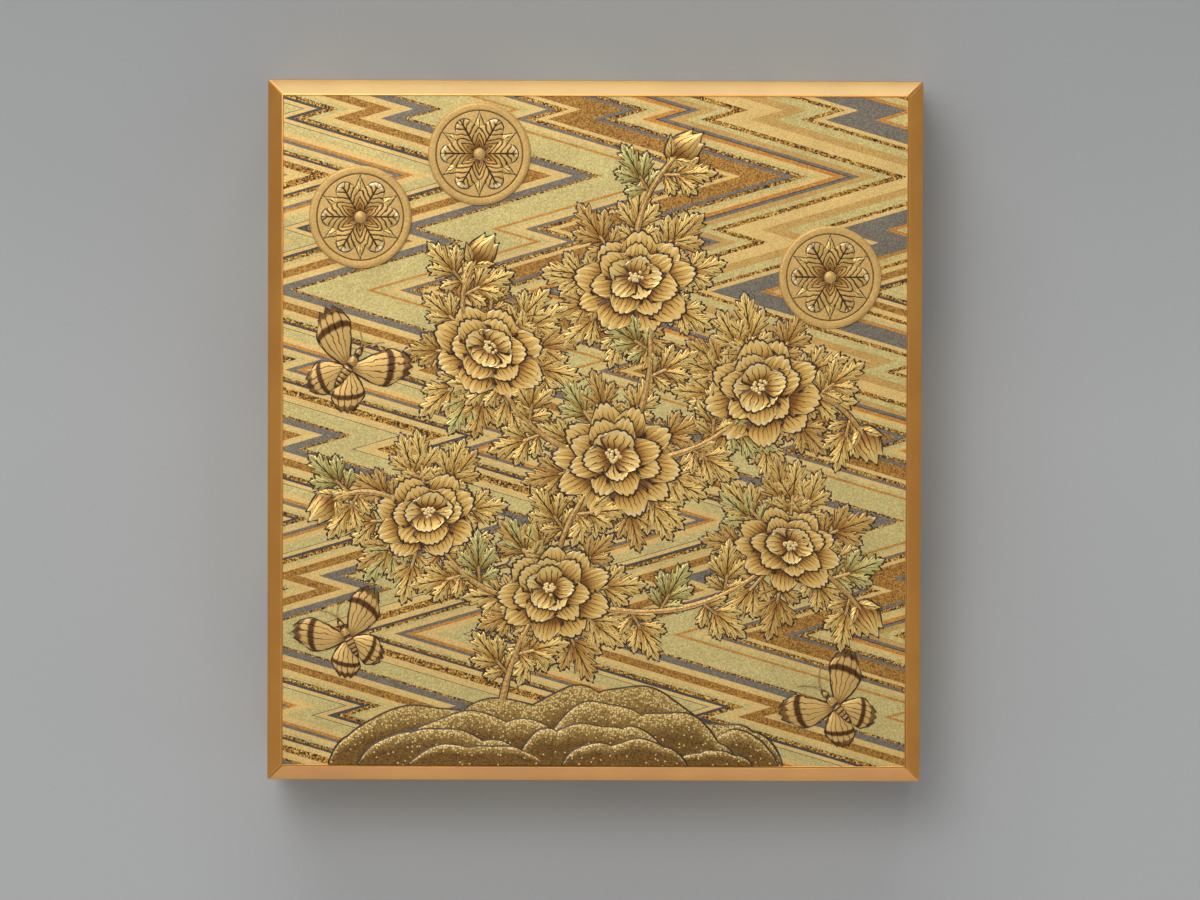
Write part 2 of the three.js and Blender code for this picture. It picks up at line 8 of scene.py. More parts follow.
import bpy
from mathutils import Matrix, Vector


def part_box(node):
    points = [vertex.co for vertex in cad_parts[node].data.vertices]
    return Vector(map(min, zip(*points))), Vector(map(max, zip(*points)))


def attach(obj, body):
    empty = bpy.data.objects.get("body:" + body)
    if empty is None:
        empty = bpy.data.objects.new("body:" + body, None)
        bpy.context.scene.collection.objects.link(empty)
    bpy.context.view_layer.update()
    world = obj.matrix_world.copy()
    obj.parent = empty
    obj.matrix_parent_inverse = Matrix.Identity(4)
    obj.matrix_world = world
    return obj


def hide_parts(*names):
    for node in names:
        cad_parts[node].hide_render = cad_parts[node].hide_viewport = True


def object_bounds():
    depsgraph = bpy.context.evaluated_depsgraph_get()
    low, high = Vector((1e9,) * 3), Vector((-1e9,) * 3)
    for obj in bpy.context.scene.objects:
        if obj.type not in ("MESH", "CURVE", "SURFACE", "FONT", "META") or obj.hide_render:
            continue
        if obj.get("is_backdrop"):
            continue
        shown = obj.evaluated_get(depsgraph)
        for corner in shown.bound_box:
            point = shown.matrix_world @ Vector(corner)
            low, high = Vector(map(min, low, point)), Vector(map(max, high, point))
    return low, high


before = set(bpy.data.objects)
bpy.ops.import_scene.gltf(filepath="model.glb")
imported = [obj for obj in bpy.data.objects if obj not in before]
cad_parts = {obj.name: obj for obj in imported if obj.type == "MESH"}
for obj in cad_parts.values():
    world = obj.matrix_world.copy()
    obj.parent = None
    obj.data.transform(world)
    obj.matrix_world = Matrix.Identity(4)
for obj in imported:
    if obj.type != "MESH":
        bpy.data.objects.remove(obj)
cad_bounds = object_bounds()

# %% [markdown]
# Measures
# Lacquer work is measured in tenths of a millimetre, and Blender works in metres. So every shape is
# drawn in millimetres, and turned to metres once, when it becomes a piece of the scene. One seeded
# random generator gives the small differences between things made by hand, the same on each run.

# %% Measures
import random
from math import atan2, cos, exp, pi, radians, sin, sqrt

import bmesh
import bpy
from bmesh.types import BMFace, BMVert
from mathutils import Matrix, Vector

MM = 0.001
UP = Vector((0, 0, 1))
chance = random.Random(11)


def low_high(node):
    """A node's lowest and highest corners in millimetres."""
    low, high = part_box(node)
    return Vector(low) / MM, Vector(high) / MM


def walls(prefix):
    """The names of the four nodes that stand round a case, a tray or a frame."""
    return [f"{prefix}_{side}" for side in ("front", "right", "back", "left")]


board_low, board_high = low_high("lid_top_board")
walls_low, walls_high = low_high("base_wall_front")
case_half = Vector((board_high.x, board_high.y))
print(f"the case is {2 * case_half.x:.0f} by {2 * case_half.y:.0f} by {board_high.z:.0f} mm")

# %% [markdown]
# Colours and nodes
# A finish is a material made of nodes: patterns that read the place on the piece, ramps that turn them
# into tones, and one shader. It could be put together by hand in the editor. In a script, one small
# function that adds a node, sets it and links it keeps each finish short enough to read from its pattern
# to its shader. Colours are written as they look on a screen, and turned to linear values on the way.

# %% Colours and nodes
COAT_ROUGHNESS = 0.12


def srgb(code):
    """A hex colour, as written for the screen, in Blender's linear values."""
    channels = [int(code[i : i + 2], 16) / 255 for i in (1, 3, 5)]
    linear = [c / 12.92 if c <= 0.04045 else ((c + 0.055) / 1.055) ** 2.4 for c in channels]
    return (*linear, 1.0)


def add(tree, kind, links=None, stops=(), **settings):
    """Adds a node. A link is a socket, a node, which gives its first output, or a plain value."""
    made = tree.nodes.new(kind)
    for name, value in settings.items():
        setattr(made, name, value)
    for i, (place, colour) in enumerate(stops):
        steps = made.color_ramp.elements
        step = steps[i] if i < 2 else steps.new(place)
        step.position = place
        step.color = srgb(colour)
    for name, value in (links or {}).items():
        if isinstance(value, bpy.types.Node):
            value = value.outputs[0]
        if isinstance(value, bpy.types.NodeSocket):
            tree.links.new(value, made.inputs[name])
        else:
            made.inputs[name].default_value = value
    return made


def surface(name, metallic, roughness, coat=0.0):
    """A new material, its tree, its shader, and the place on the piece, which the patterns read."""
    material = bpy.data.materials.new(name)
    material.use_nodes = True
    tree = material.node_tree
    shader = tree.nodes["Principled BSDF"]
    shader.inputs["Metallic"].default_value = metallic
    shader.inputs["Roughness"].default_value = roughness
    shader.inputs["Coat Weight"].default_value = coat
    shader.inputs["Coat Roughness"].default_value = COAT_ROUGHNESS
    where = add(tree, "ShaderNodeTexCoord").outputs["Object"]
    return material, tree, shader, where


def dress(tree, shader, colour, height=None, strength=0.5, depth=0.05):
    """Gives the shader its colour and, where there is a height, a bump that many millimetres deep."""
    tree.links.new(colour.outputs[0], shader.inputs["Base Color"])
    if height is not None:
        bump = add(tree, "ShaderNodeBump", {"Height": height, "Strength": strength, "Distance": depth * MM})
        tree.links.new(bump.outputs["Normal"], shader.inputs["Normal"])


print("a mid grey is", [round(c, 3) for c in srgb("#808080")])

# %% [markdown]
# Meshes
# A joiner's piece starts as a straight block, and so do most pieces here: a cube that is scaled, cut and
# then eased along its edges, because no real edge is perfectly sharp and an eased one catches light. The
# last helper turns a finished mesh into a piece of the scene, which rides on a body of the frame and hides
# the plain nodes that it stands for.

# %% Meshes


def block(width, depth, low, high, x=0.0, y=0.0):
    """A new mesh with one cuboid from height low to height high."""
    bm = bmesh.new()
    bmesh.ops.create_cube(bm, size=1)
    bmesh.ops.scale(bm, vec=(width, depth, high - low), verts=bm.verts)
    bmesh.ops.translate(bm, vec=(x, y, (low + high) / 2), verts=bm.verts)
    bm.normal_update()
    return bm


def node_block(node):
    """A new mesh with one cuboid of a node's size, in its place."""
    low, high = low_high(node)
    middle = (low + high) / 2
    return block(high.x - low.x, high.y - low.y, low.z, high.z, middle.x, middle.y)


def only(kind, parts):
    """The verts, or the faces, among the parts that an operator gives back."""
    return [part for part in parts if isinstance(part, kind)]


def faces_of(verts):
    """The faces round these verts, each one once."""
    return list(dict.fromkeys(face for vert in verts for face in vert.link_faces))


def facing(bm, direction):
    """The faces that look in a direction."""
    return [face for face in bm.faces if face.normal.dot(Vector(direction)) > 0.99]


def ease(bm, radius, segments=2, edges=None):
    """Rounds the given edges, or every edge that turns by more than 30 degrees."""
    if edges is None:
        edges = [edge for edge in bm.edges if edge.calc_face_angle(0) > radians(30)]
    bmesh.ops.bevel(
        bm, geom=edges, offset=radius, segments=segments, profile=0.5, affect="EDGES", material=-1,
    )
    bm.normal_update()


def make_piece(name, bm, finishes, body, nodes=(), smooth=35):
    """Turns a mesh in millimetres into a piece that rides on a body, and hides the nodes that it stands
    for.

    Normals are weighted by area, so that a flat face stays level in the light up to its eased edges."""
    bmesh.ops.recalc_face_normals(bm, faces=bm.faces)
    bmesh.ops.scale(bm, vec=(MM, MM, MM), verts=bm.verts)
    mesh = bpy.data.meshes.new(name)
    bm.to_mesh(mesh)
    bm.free()
    for finish in finishes:
        mesh.materials.append(finish)
    mesh.polygons.foreach_set("use_smooth", [True] * len(mesh.polygons))
    mesh.set_sharp_from_angle(angle=radians(smooth))
    piece = bpy.data.objects.new(name, mesh)
    bpy.context.scene.collection.objects.link(piece)
    level_shading = piece.modifiers.new("level_shading", "WEIGHTED_NORMAL")
    level_shading.keep_sharp = True
    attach(piece, body)
    if nodes:
        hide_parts(*nodes)
    print(f"{name}: {len(mesh.polygons)} faces on {body}")


# %% [markdown]
# Camera
# The box is photographed from straight above with a long lens, so its sides stay hidden. The lens is
# found from the scale of the picture: 1200 pixels span 412 mm at the lid. The back edge is a little
# wider than the front one, so the camera stands a little behind the middle and looks back.

# %% Camera
FRAME_WIDTH = 1200
FRAME_HEIGHT = 900
PIXEL = 0.3435
BOX_CENTRE_PX = (594.5, 431.7)
CAMERA_DISTANCE = 2000.0
CAMERA_TILT = radians(2.2)
CAMERA_ROLL = radians(0.2)
SENSOR = 36.0

camera_data = bpy.data.cameras.new("camera")
camera_data.sensor_width = SENSOR
camera_data.lens = SENSOR * CAMERA_DISTANCE / (FRAME_WIDTH * PIXEL)
camera_data.clip_end = 50
camera = bpy.data.objects.new("camera", camera_data)
bpy.context.scene.collection.objects.link(camera)
aside = (FRAME_WIDTH / 2 - BOX_CENTRE_PX[0]) * PIXEL
backwards = (BOX_CENTRE_PX[1] - FRAME_HEIGHT / 2) * PIXEL
looks_at = Vector((aside, backwards, board_high.z))
turn = Matrix.Rotation(CAMERA_ROLL, 4, "Z") @ Matrix.Rotation(-CAMERA_TILT, 4, "X")
stands_at = Matrix.Translation(MM * (looks_at + turn @ Vector((0, 0, CAMERA_DISTANCE))))
camera.matrix_world = stands_at @ turn
bpy.context.scene.camera = camera
print(f"a {camera_data.lens:.0f} mm lens looks at {tuple(round(c, 1) for c in looks_at)}")

# %% [markdown]
# Light
# Gold shows its surroundings, so the lamps decide where it is bright. The border's back bevel mirrors a
# wide soft box behind the case, its front bevel a weaker one, and its side bevels the weakest two. Its
# clear coat mirrors much more sharply, so two slim strips of light stand low behind and in front, just
# where the bevels mirror them. They give those their pale sheen, the back one a little cool and the
# front one a little warm. The flat lid mirrors a large soft box above the camera. All lamps together
# light a flat face at about the level where a colour looks as it is written.

# %% Light
# Place, size, watts and tint
SOFT_BOXES = {
    "lamp_above": ((-550, 810, 2250), (1100, 1100), 19.2, "#ffffff"),
    "lamp_back": ((-250, 1500, 850), (1700, 550), 11.5, "#ffffff"),
    "strip_back": ((0, 1500, 229), (1900, 60), 1.4, "#dcfff0"),
    "lamp_front": ((150, -1500, 700), (1400, 450), 4.6, "#ffffff"),
    "strip_front": ((0, -1500, 122), (1900, 60), 0.42, "#fff4dc"),
    "lamp_left": ((-1500, 0, 600), (1500, 500), 2.45, "#ffffff"),
    "lamp_right": ((1500, 0, 600), (1500, 500), 2.45, "#ffffff"),
}
ROOM_LEVEL = 0.24

for name, (at, size, watts, tint) in SOFT_BOXES.items():
    lamp = bpy.data.lights.new(name, "AREA")
    lamp.shape = "RECTANGLE"
    lamp.size = MM * size[0]
    lamp.size_y = MM * size[1]
    lamp.energy = watts
    lamp.color = srgb(tint)[:3]
    holder = bpy.data.objects.new(name, lamp)
    holder.location = MM * Vector(at)
    holder.rotation_euler = (-Vector(at)).to_track_quat("-Z", "Y").to_euler()
    bpy.context.scene.collection.objects.link(holder)

world = bpy.data.worlds.new("room")
world.use_nodes = True
room = world.node_tree.nodes["Background"]
room.inputs["Color"].default_value = srgb("#ffffff")
room.inputs["Strength"].default_value = ROOM_LEVEL
bpy.context.scene.world = world
bpy.context.scene.view_settings.view_transform = "Standard"
print(f"{len(SOFT_BOXES)} soft boxes, and a room at {ROOM_LEVEL}")

# %% [markdown]
# Floor
# The box lies on a sheet of matt grey paper, with painted shade that darkens it towards the back. A plane
# with one tone would do, but it looks like a void. Faint fibres, a millimetre apart, make it paper.

# %% Floor
PAINTED_SHADE_REACH = 150.0
FIBRE_SPACING = 1.1
FLOOR_HALF = 6000

paper, tree, shader, where = surface("grey_paper_with_painted_shade", metallic=0, roughness=0.9)
place = add(tree, "ShaderNodeSeparateXYZ", {"Vector": where})
fading = add(
    tree,
    "ShaderNodeMapRange",
    {"Value": place.outputs["Y"], "From Min": -PAINTED_SHADE_REACH * MM, "From Max": PAINTED_SHADE_REACH * MM},
)
# Painted shade: the paper is darker towards the back.
painted_shade_greys = [(0.0, "#b7b8b9"), (0.5, "#b7b8b9"), (1.0, "#a5a6a7")]
grey = add(tree, "ShaderNodeValToRGB", {"Fac": fading}, stops=painted_shade_greys)
fibres = add(
    tree, "ShaderNodeTexNoise", {"Vector": where, "Scale": 1 / (FIBRE_SPACING * MM), "Detail": 3},
)
mottled = add(
    tree,
    "ShaderNodeMapRange",
    {"Value": fibres, "From Min": 0.3, "From Max": 0.7, "To Min": 0.98, "To Max": 1.02},
)
paper_tone = add(tree, "ShaderNodeVectorMath", {0: grey, 1: mottled}, operation="MULTIPLY")
dress(tree, shader, paper_tone)

bm = bmesh.new()
bmesh.ops.create_grid(bm, x_segments=1, y_segments=1, size=MM * FLOOR_HALF)
mesh = bpy.data.meshes.new("floor")
bm.to_mesh(mesh)
bm.free()
mesh.materials.append(paper)
floor = bpy.data.objects.new("floor", mesh)
bpy.context.scene.collection.objects.link(floor)
floor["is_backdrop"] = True
print("the floor is", paper.name)

# %% [markdown]
# Gold grounds
# The stripes on the lid differ in their metal and in the size of its powder. Fine pale gold and green
# gold are almost smooth, amber gold is coarser, and the narrow bands of flecks are large grains of gold
# on dark lacquer. Grains could be a noise, but noise is soft. A Voronoi texture gives cells with an
# edge and one random tone each, which is just what powder under polished lacquer looks like. Real powder
# is a tenth of a millimetre or finer, and is drawn coarser here, so that its grain shows.

# %% Sprinkled powder


def sprinkled(name, tones, grain, metallic=0.5, roughness=0.4, crisp=False, depth=0.02):
    """Powder in lacquer: each grain, of a size in millimetres, takes one of the tones."""
    material, tree, shader, where = surface(name, metallic, roughness, coat=0.05)
    cells = add(tree, "ShaderNodeTexVoronoi", {"Vector": where, "Scale": 1 / (grain * MM)})
    tone = add(tree, "ShaderNodeSeparateColor", {"Color": cells.outputs["Color"]})
    powder = add(tree, "ShaderNodeValToRGB", {"Fac": tone.outputs["Red"]}, stops=tones)
    powder.color_ramp.interpolation = "CONSTANT" if crisp else "LINEAR"
    patches = add(tree, "ShaderNodeTexNoise", {"Vector": where, "Scale": 1 / (14 * MM), "Detail": 4})
    level = add(
        tree,
        "ShaderNodeMapRange",
        {"Value": patches, "From Min": 0.3, "From Max": 0.7, "To Min": 0.9, "To Max": 1.05},
    )
    tinted = add(tree, "ShaderNodeVectorMath", {0: powder, 1: level}, operation="MULTIPLY")
    dress(tree, shader, tinted, tone.outputs["Green"], 0.6, depth)
    return material


pale_gold = sprinkled("pale_gold_powder", [(0, "#e2b668"), (0.5, "#f0c97a"), (1, "#fbdb90")], 0.3)
green_gold = sprinkled("green_gold_powder", [(0, "#c4b069"), (0.5, "#dbc67c"), (1, "#edd998")], 0.4)
amber_gold = sprinkled("amber_gold_powder", [(0, "#7a4e1a"), (0.5, "#b57d32"), (1, "#d3a14e")], 0.4)
dull_amber = sprinkled("dull_amber_powder", [(0, "#c29247"), (0.5, "#d7a95a"), (1, "#e7bd74")], 0.3)
grey_silver = sprinkled("dulled_silver_powder", [(0, "#6e6557"), (0.5, "#827869"), (1, "#978c7a")], 0.4)
red_gold = sprinkled("red_gold_powder", [(0, "#b8722a"), (0.5, "#d6913a"), (1, "#e9a950")], 0.35)
blue_black = sprinkled("blue_black_line", [(0, "#3f3d40"), (0.6, "#54504f"), (1, "#6e675f")], 0.35)
gold_flecks = sprinkled(
    "gold_flecks_on_black",
    [(0, "#3c2a1c"), (0.3, "#c88a30"), (0.62, "#92642a"), (0.82, "#f2c668")],
    0.45,
    crisp=True,
    depth=0.05,
)
STRIPE_FINISHES = [
    pale_gold, green_gold, amber_gold, dull_amber, grey_silver, red_gold, blue_black, gold_flecks,
]
PALE, GREEN, AMBER, DULL, GREY, RED, LINE, FLECK = range(len(STRIPE_FINISHES))
print(f"{len(STRIPE_FINISHES)} gold grounds")

# %% [markdown]
# The bands
# The ground is the old pattern of pine-bark zigzags: bands of many widths and metals run side by side
# from the lid's left edge to its right. They are listed as a maker would lay them out, with the widths
# measured across, and a run of them comes back several times on the left.

# %% The bands
# Widths in millimetres from left to right, measured along X. The thin red line is the landmark.
LANDMARK = -81.2
RUN = [
    (PALE, 7.6), (FLECK, 7.9), (PALE, 6.2), (LINE, 2.7), (FLECK, 3.4), (GREEN, 3.1), (PALE, 5.2),
    (GREY, 3.8), (RED, 3.4), (PALE, 6.5), (GREEN, 9.8), (LINE, 0.7), (PALE, 4.4), (LINE, 3.1),
    (FLECK, 4.5), (GREEN, 3.8), (PALE, 5.5), (AMBER, 8.9), (PALE, 7.2), (GREY, 7.6), (FLECK, 2.6),
]
LEFT_OF_LANDMARK = RUN + RUN + [(GREEN, 16.0), (LINE, 0.7)] + RUN + [(GREEN, 24.0)]
RIGHT_OF_LANDMARK = [
    (RED, 2.7), (GREEN, 4.1), (PALE, 4.8), (GREY, 3.4), (FLECK, 4.1), (PALE, 4.1), (AMBER, 15.1),
    (GREY, 3.4), (LINE, 0.7), (FLECK, 4.1), (GREEN, 4.1), (PALE, 4.8), (RED, 4.5), (LINE, 1.2),
    (GREY, 3.3), (DULL, 5.8), (GREEN, 5.2), (FLECK, 5.2), (PALE, 12.0), (DULL, 8.6), (GREEN, 8.6),
    (FLECK, 4.1), (PALE, 4.5), (GREY, 16.8), (RED, 3.8), (GREEN, 4.8), (PALE, 3.1), (FLECK, 4.1),
    (PALE, 5.5), (AMBER, 7.9), (PALE, 4.8), (LINE, 2.4), (FLECK, 4.1), (GREEN, 7.2), (PALE, 5.5),
    (RED, 3.4), (GREY, 5.8), (PALE, 6.2), (FLECK, 3.8), (GREEN, 9.6), (PALE, 5.8), (GREY, 4.1),
]
bands = LEFT_OF_LANDMARK + RIGHT_OF_LANDMARK
edges_of_bands = [LANDMARK - sum(width for _, width in LEFT_OF_LANDMARK)]
for _, width in bands:
    edges_of_bands.append(edges_of_bands[-1] + width)
print(f"{len(bands)} bands, {edges_of_bands[-1] - edges_of_bands[0]:.0f} mm in all")

# %% [markdown]
# The zigzag
# All bands turn at the same heights, with long strokes and short ones, so one broken line is enough for
# all of them: how far the stripes are shifted aside at each height. Only the first shift is given. The
# others follow from the heights, because every stroke has the same slope.

# %% The zigzag
SLOPE = 3.4
LID_TURNS = [
    115.0, 110.5, 107.2, 87.8, 69.5, 65.2, 48.3, 24.6, 20.9, -1.5, -6.3, -30.3, -49.9, -54.4, -69.8,
    -94.6, -98.0, -115.0,
]
LID_FIRST_SHIFT = 37.6


def zigzag(turns, first_shift):
    """Pairs of a height and the stripes' shift there, downwards, with the same slope all the way."""
    pairs = [(turns[0], first_shift)]
    for i, (above, below) in enumerate(zip(turns, turns[1:])):
        way = 1 if i % 2 == 0 else -1
        pairs.append((below, pairs[-1][1] + way * SLOPE * (above - below)))
    return pairs


print("the last turn is shifted by", round(zigzag(LID_TURNS, LID_FIRST_SHIFT)[-1][1]), "mm")

# %% [markdown]
# The inlay
# The stripes could be painted by a texture, but then every edge would blur when the model is baked. So
# the ground is a thin plate whose top is cut: first at each height where the zigzag turns, then along
# every band's edge. Each facet takes the finish of its band. The plate lies inside the border's bevel
# and lip, whose widths are measured in the photograph.

# %% The inlay
INLAY = 0.3
# Points that are nearer than a hair are taken as one.
HAIR = 0.0005
LIP = 0.6
BEVEL_WIDTH = 4.9
BEVEL_DROP = 4.2
FIELD_RECESS = 0.4
field_half = case_half - Vector((BEVEL_WIDTH + LIP, BEVEL_WIDTH + LIP))
field_top = board_high.z - FIELD_RECESS


def bisect(bm, faces, through, normal):
    """Cuts faces along a plane, and gives back the faces that they have become."""
    geometry = {*faces, *(e for f in faces for e in f.edges), *(v for f in faces for v in f.verts)}
    cut = bmesh.ops.bisect_plane(
        bm, geom=list(geometry), dist=HAIR, plane_co=through, plane_no=normal,
    )
    return only(BMFace, cut["geom"])


def band_at(place):
    """The finish of the band that holds a place, measured where nothing is shifted."""
    return bands[sum(edge < place for edge in edges_of_bands) - 1][0]


def striped_inlay(low, high, path):
    """A thin closed plate in the XY plane, its top at height 0, cut into the zigzag's facets."""
    bm = bmesh.new()
    bmesh.ops.create_grid(bm, x_segments=1, y_segments=1, size=0.5)
    bmesh.ops.scale(bm, vec=(high.x - low.x, high.y - low.y, 1), verts=bm.verts)
    bmesh.ops.translate(bm, vec=((low.x + high.x) / 2, (low.y + high.y) / 2, 0), verts=bm.verts)
    for height, _ in path:
        if low.y < height < high.y:
            bisect(bm, bm.faces[:], (0, height, 0), (0, 1, 0))
    for (above, shift_above), (below, shift_below) in zip(path, path[1:]):
        strip = [f for f in bm.faces if below < f.calc_center_median().y < above]
        leftmost = low.x - max(shift_above, shift_below)
        rightmost = high.x - min(shift_above, shift_below)
        across = (above - below, shift_below - shift_above, 0)
        for edge in edges_of_bands:
            if leftmost < edge < rightmost and strip:
                strip = bisect(bm, strip, (edge + shift_above, above, 0), across)
        for face in strip:
            middle = face.calc_center_median()
            share = (above - middle.y) / (above - below)
            shift = shift_above + share * (shift_below - shift_above)
            face.material_index = band_at(middle.x - shift)
    rim = bmesh.ops.extrude_edge_only(bm, edges=[e for e in bm.edges if e.is_boundary])["geom"]
    bmesh.ops.translate(bm, vec=(0, 0, -INLAY), verts=only(BMVert, rim))
    bmesh.ops.edgeloop_fill(bm, edges=[e for e in bm.edges if e.is_boundary])
    return bm


bm = striped_inlay(-field_half, field_half, zigzag(LID_TURNS, LID_FIRST_SHIFT))
bmesh.ops.translate(bm, vec=(0, 0, field_top), verts=bm.verts)
make_piece("lid_ground", bm, STRIPE_FINISHES, "lid")

# %% [markdown]
# Polished gold
# The border, the lip and the frames round the side panels are one even gold: very fine powder, rubbed
# until it looks like metal leaf. It has no grain to see, only faint clouds and the marks of the
# polishing, so it is the most metallic of the golds. A thick clear lacquer over it mirrors more sharply
# than the metal below, which is why its coat has an IOR of its own.

# %% Polished gold
border_gold, tree, shader, where = surface("polished_gold", metallic=1.0, roughness=0.3, coat=1.0)
shader.inputs["Coat IOR"].default_value = 1.7
shader.inputs["Coat Roughness"].default_value = 0.08
clouds = add(tree, "ShaderNodeTexNoise", {"Vector": where, "Scale": 1 / (20 * MM), "Detail": 6})
tone = add(tree, "ShaderNodeValToRGB", {"Fac": clouds}, stops=[(0.35, "#de9534"), (0.65, "#e8a03c")])
rubbed = add(tree, "ShaderNodeTexNoise", {"Vector": where, "Scale": 1 / (0.6 * MM), "Detail": 2})
dress(tree, shader, tone, rubbed, 0.3, 0.01)
print("border gold is", border_gold.name)

# %% [markdown]
# Lacquer with gold flakes
# Inside, the box has the ground that is called pear skin: brown lacquer in which irregular flakes of
# gold float at different depths, under a clear and slightly amber coat. A Voronoi texture places the
# flakes, its cell colour decides which of them lie deep and how large each is, and the coat on the
# shader gives the depth.

# %% Lacquer with gold flakes
FLAKE = 0.8
DEEP_BROWN = "#4a2510"
FLAKE_TONES = [(0.0, DEEP_BROWN), (0.4, "#5e3315"), (0.55, "#9a6427"), (0.8, "#c98f3f"), (1.0, "#e8bd68")]

pear_skin, tree, shader, where = surface("pear_skin_lacquer", metallic=0.35, roughness=0.3, coat=1.0)
flakes = add(tree, "ShaderNodeTexVoronoi", {"Vector": where, "Scale": 1 / (FLAKE * MM)})
flake = add(tree, "ShaderNodeSeparateColor", {"Color": flakes.outputs["Color"]})
sunk = add(tree, "ShaderNodeValToRGB", {"Fac": flake.outputs["Red"]}, stops=FLAKE_TONES)
reach = add(tree, "ShaderNodeMapRange", {"Value": flake.outputs["Green"], "To Min": 0.2, "To Max": 0.5})
in_flake = add(
    tree, "ShaderNodeMath", {0: flakes.outputs["Distance"], 1: reach}, operation="LESS_THAN",
)
floating = add(tree, "ShaderNodeMixRGB", {"Fac": in_flake, "Color1": srgb(DEEP_BROWN), "Color2": sunk})
dress(tree, shader, floating, flake.outputs["Blue"], 0.35, 0.04)
print("the inside is", pear_skin.name)

# %% [markdown]
# Shaping a shell
# The wooden walls are mitred boards, but lacquer runs over every joint, so the eye sees one shell with
# soft corners. It could be put together from walls, but then the joints would show. Here it is cut from
# one block by a few helpers: one sinks faces into the block, one frames a panel on each side, one gives
# the inside its own finish, and one rounds the upright corners more than the other edges.

# %% Shaping a shell
PANEL_MARGIN = 1.6
WALL = 6.0
CORNER = 0.6
SOFT = 0.2
NEAR = 0.05
SIDES = [(0, -1, 0), (1, 0, 0), (0, 1, 0), (-1, 0, 0)]


def sink(bm, faces, depth, direction):
    """Pushes faces into the solid: the walls of the recess grow with them."""
    grown = bmesh.ops.extrude_face_region(bm, geom=faces)["geom"]
    bmesh.ops.translate(bm, vec=depth * Vector(direction), verts=only(BMVert, grown))
    bmesh.ops.delete(bm, geom=faces, context="FACES_ONLY")
    bm.normal_update()
    return only(BMFace, grown)


def panel_recesses(bm):
    """Frames and sinks a panel on each of the four sides."""
    for side in SIDES:
        outer = max(facing(bm, side), key=lambda face: face.calc_center_median().dot(Vector(side)))
        bmesh.ops.inset_region(bm, faces=[outer], thickness=PANEL_MARGIN, use_even_offset=True)
        sink(bm, [outer], -INLAY, side)


def line_inside(bm, half, ceiling):
    """Gives the faces inside the walls, up to the ceiling, the second finish."""
    for face in bm.faces:
        middle = face.calc_center_median()
        inside = max(abs(middle.x) - half.x, abs(middle.y) - half.y) < NEAR - WALL
        if inside and middle.z < ceiling + NEAR:
            face.material_index = 1


def rise_of(edge):
    """How much higher one end of an edge lies than the other."""
    return abs(edge.verts[0].co.z - edge.verts[1].co.z)


def upright(bm, half):
    """The edges that stand at the four outer corners, and the mitres that go on from them."""

    def on_corner(vert):
        """Whether a point lies on a line that runs from a corner inwards at 45 degrees."""
        inward = (half.x - abs(vert.co.x), half.y - abs(vert.co.y))
        return abs(inward[0] - inward[1]) < 0.01 and inward[0] < BEVEL_WIDTH + 0.01

    rising = [edge for edge in bm.edges if rise_of(edge) > 1]
    return [edge for edge in rising if all(on_corner(vert) for vert in edge.verts)]


def soften(bm, half):
    """Rounds the corners, eases the edges, and brings back any point that the rounding pushed out."""
    ease(bm, CORNER, 3, upright(bm, half))
    ease(bm, SOFT)
    for vert in bm.verts:
        vert.co.x = max(-half.x, min(half.x, vert.co.x))
        vert.co.y = max(-half.y, min(half.y, vert.co.y))


print(f"each wall is {WALL} mm thick, with a frame {PANEL_MARGIN} mm wide")

# %% [markdown]
# Lid shell
# On the block's top, an inset that drops makes the bevel, a level one makes the lip, and the rest is sunk
# for the inlay. An inset and a deep cut from below hollow it.

# %% Lid shell
lid_walls_low = low_high("lid_wall_front")[0].z
land = board_high.z - BEVEL_DROP
bm = block(2 * case_half.x, 2 * case_half.y, lid_walls_low, land)
top = facing(bm, UP)
bmesh.ops.inset_region(bm, faces=top, thickness=BEVEL_WIDTH, depth=BEVEL_DROP, use_even_offset=True)
bmesh.ops.inset_region(bm, faces=top, thickness=LIP, use_even_offset=True)
sink(bm, top, -(FIELD_RECESS + INLAY), UP)
under = facing(bm, -UP)
bmesh.ops.inset_region(bm, faces=under, thickness=WALL, use_even_offset=True)
sink(bm, under, board_low.z - lid_walls_low, UP)
panel_recesses(bm)
line_inside(bm, case_half, board_low.z)
soften(bm, case_half)
lid_nodes = ["lid_top_board"] + walls("lid_wall")
make_piece("lid_shell", bm, [border_gold, pear_skin], "lid", lid_nodes)

# %% [markdown]
# Case shell
# The case's four walls are a ring without top or bottom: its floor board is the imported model's own. A
# ring could be cut from a block with a boolean. Opening the block's two ends and bridging their rims
# gives the same walls with cleaner faces.

# %% Case shell


def ring(half, low, high, thickness):
    """A closed frame: a cuboid whose top and bottom are opened and joined by inner walls."""
    bm = block(2 * half.x, 2 * half.y, low, high)
    ends = facing(bm, UP) + facing(bm, -UP)
    for end in ends:
        bmesh.ops.inset_region(bm, faces=[end], thickness=thickness, use_even_offset=True)
    rims = [edge for end in ends for edge in end.edges]
    bmesh.ops.delete(bm, geom=ends, context="FACES_ONLY")
    bmesh.ops.bridge_loops(bm, edges=rims)
    bmesh.ops.recalc_face_normals(bm, faces=bm.faces)
    return bm


bm = ring(case_half, walls_low.z, walls_high.z, WALL)
panel_recesses(bm)
line_inside(bm, case_half, walls_high.z)
soften(bm, case_half)
make_piece("base_shell", bm, [border_gold, pear_skin], "base", walls("base_wall"))

# %% [markdown]
# Side panels
# The photograph doesn't show the sides, so they get the lid's stripes, as such boxes often do. Each
# panel is the same inlay, stood up and turned to its side, and the zigzag is in step from lid to case.

# %% Side panels
# The heights where the zigzag turns, and the first shift on each side
SIDE_TURNS = [47.0, 38.0, 34.5, 21.0, 12.0, 8.5, -2.0]
SIDE_SHIFTS = [20.0, -35.0, 60.0, -10.0]


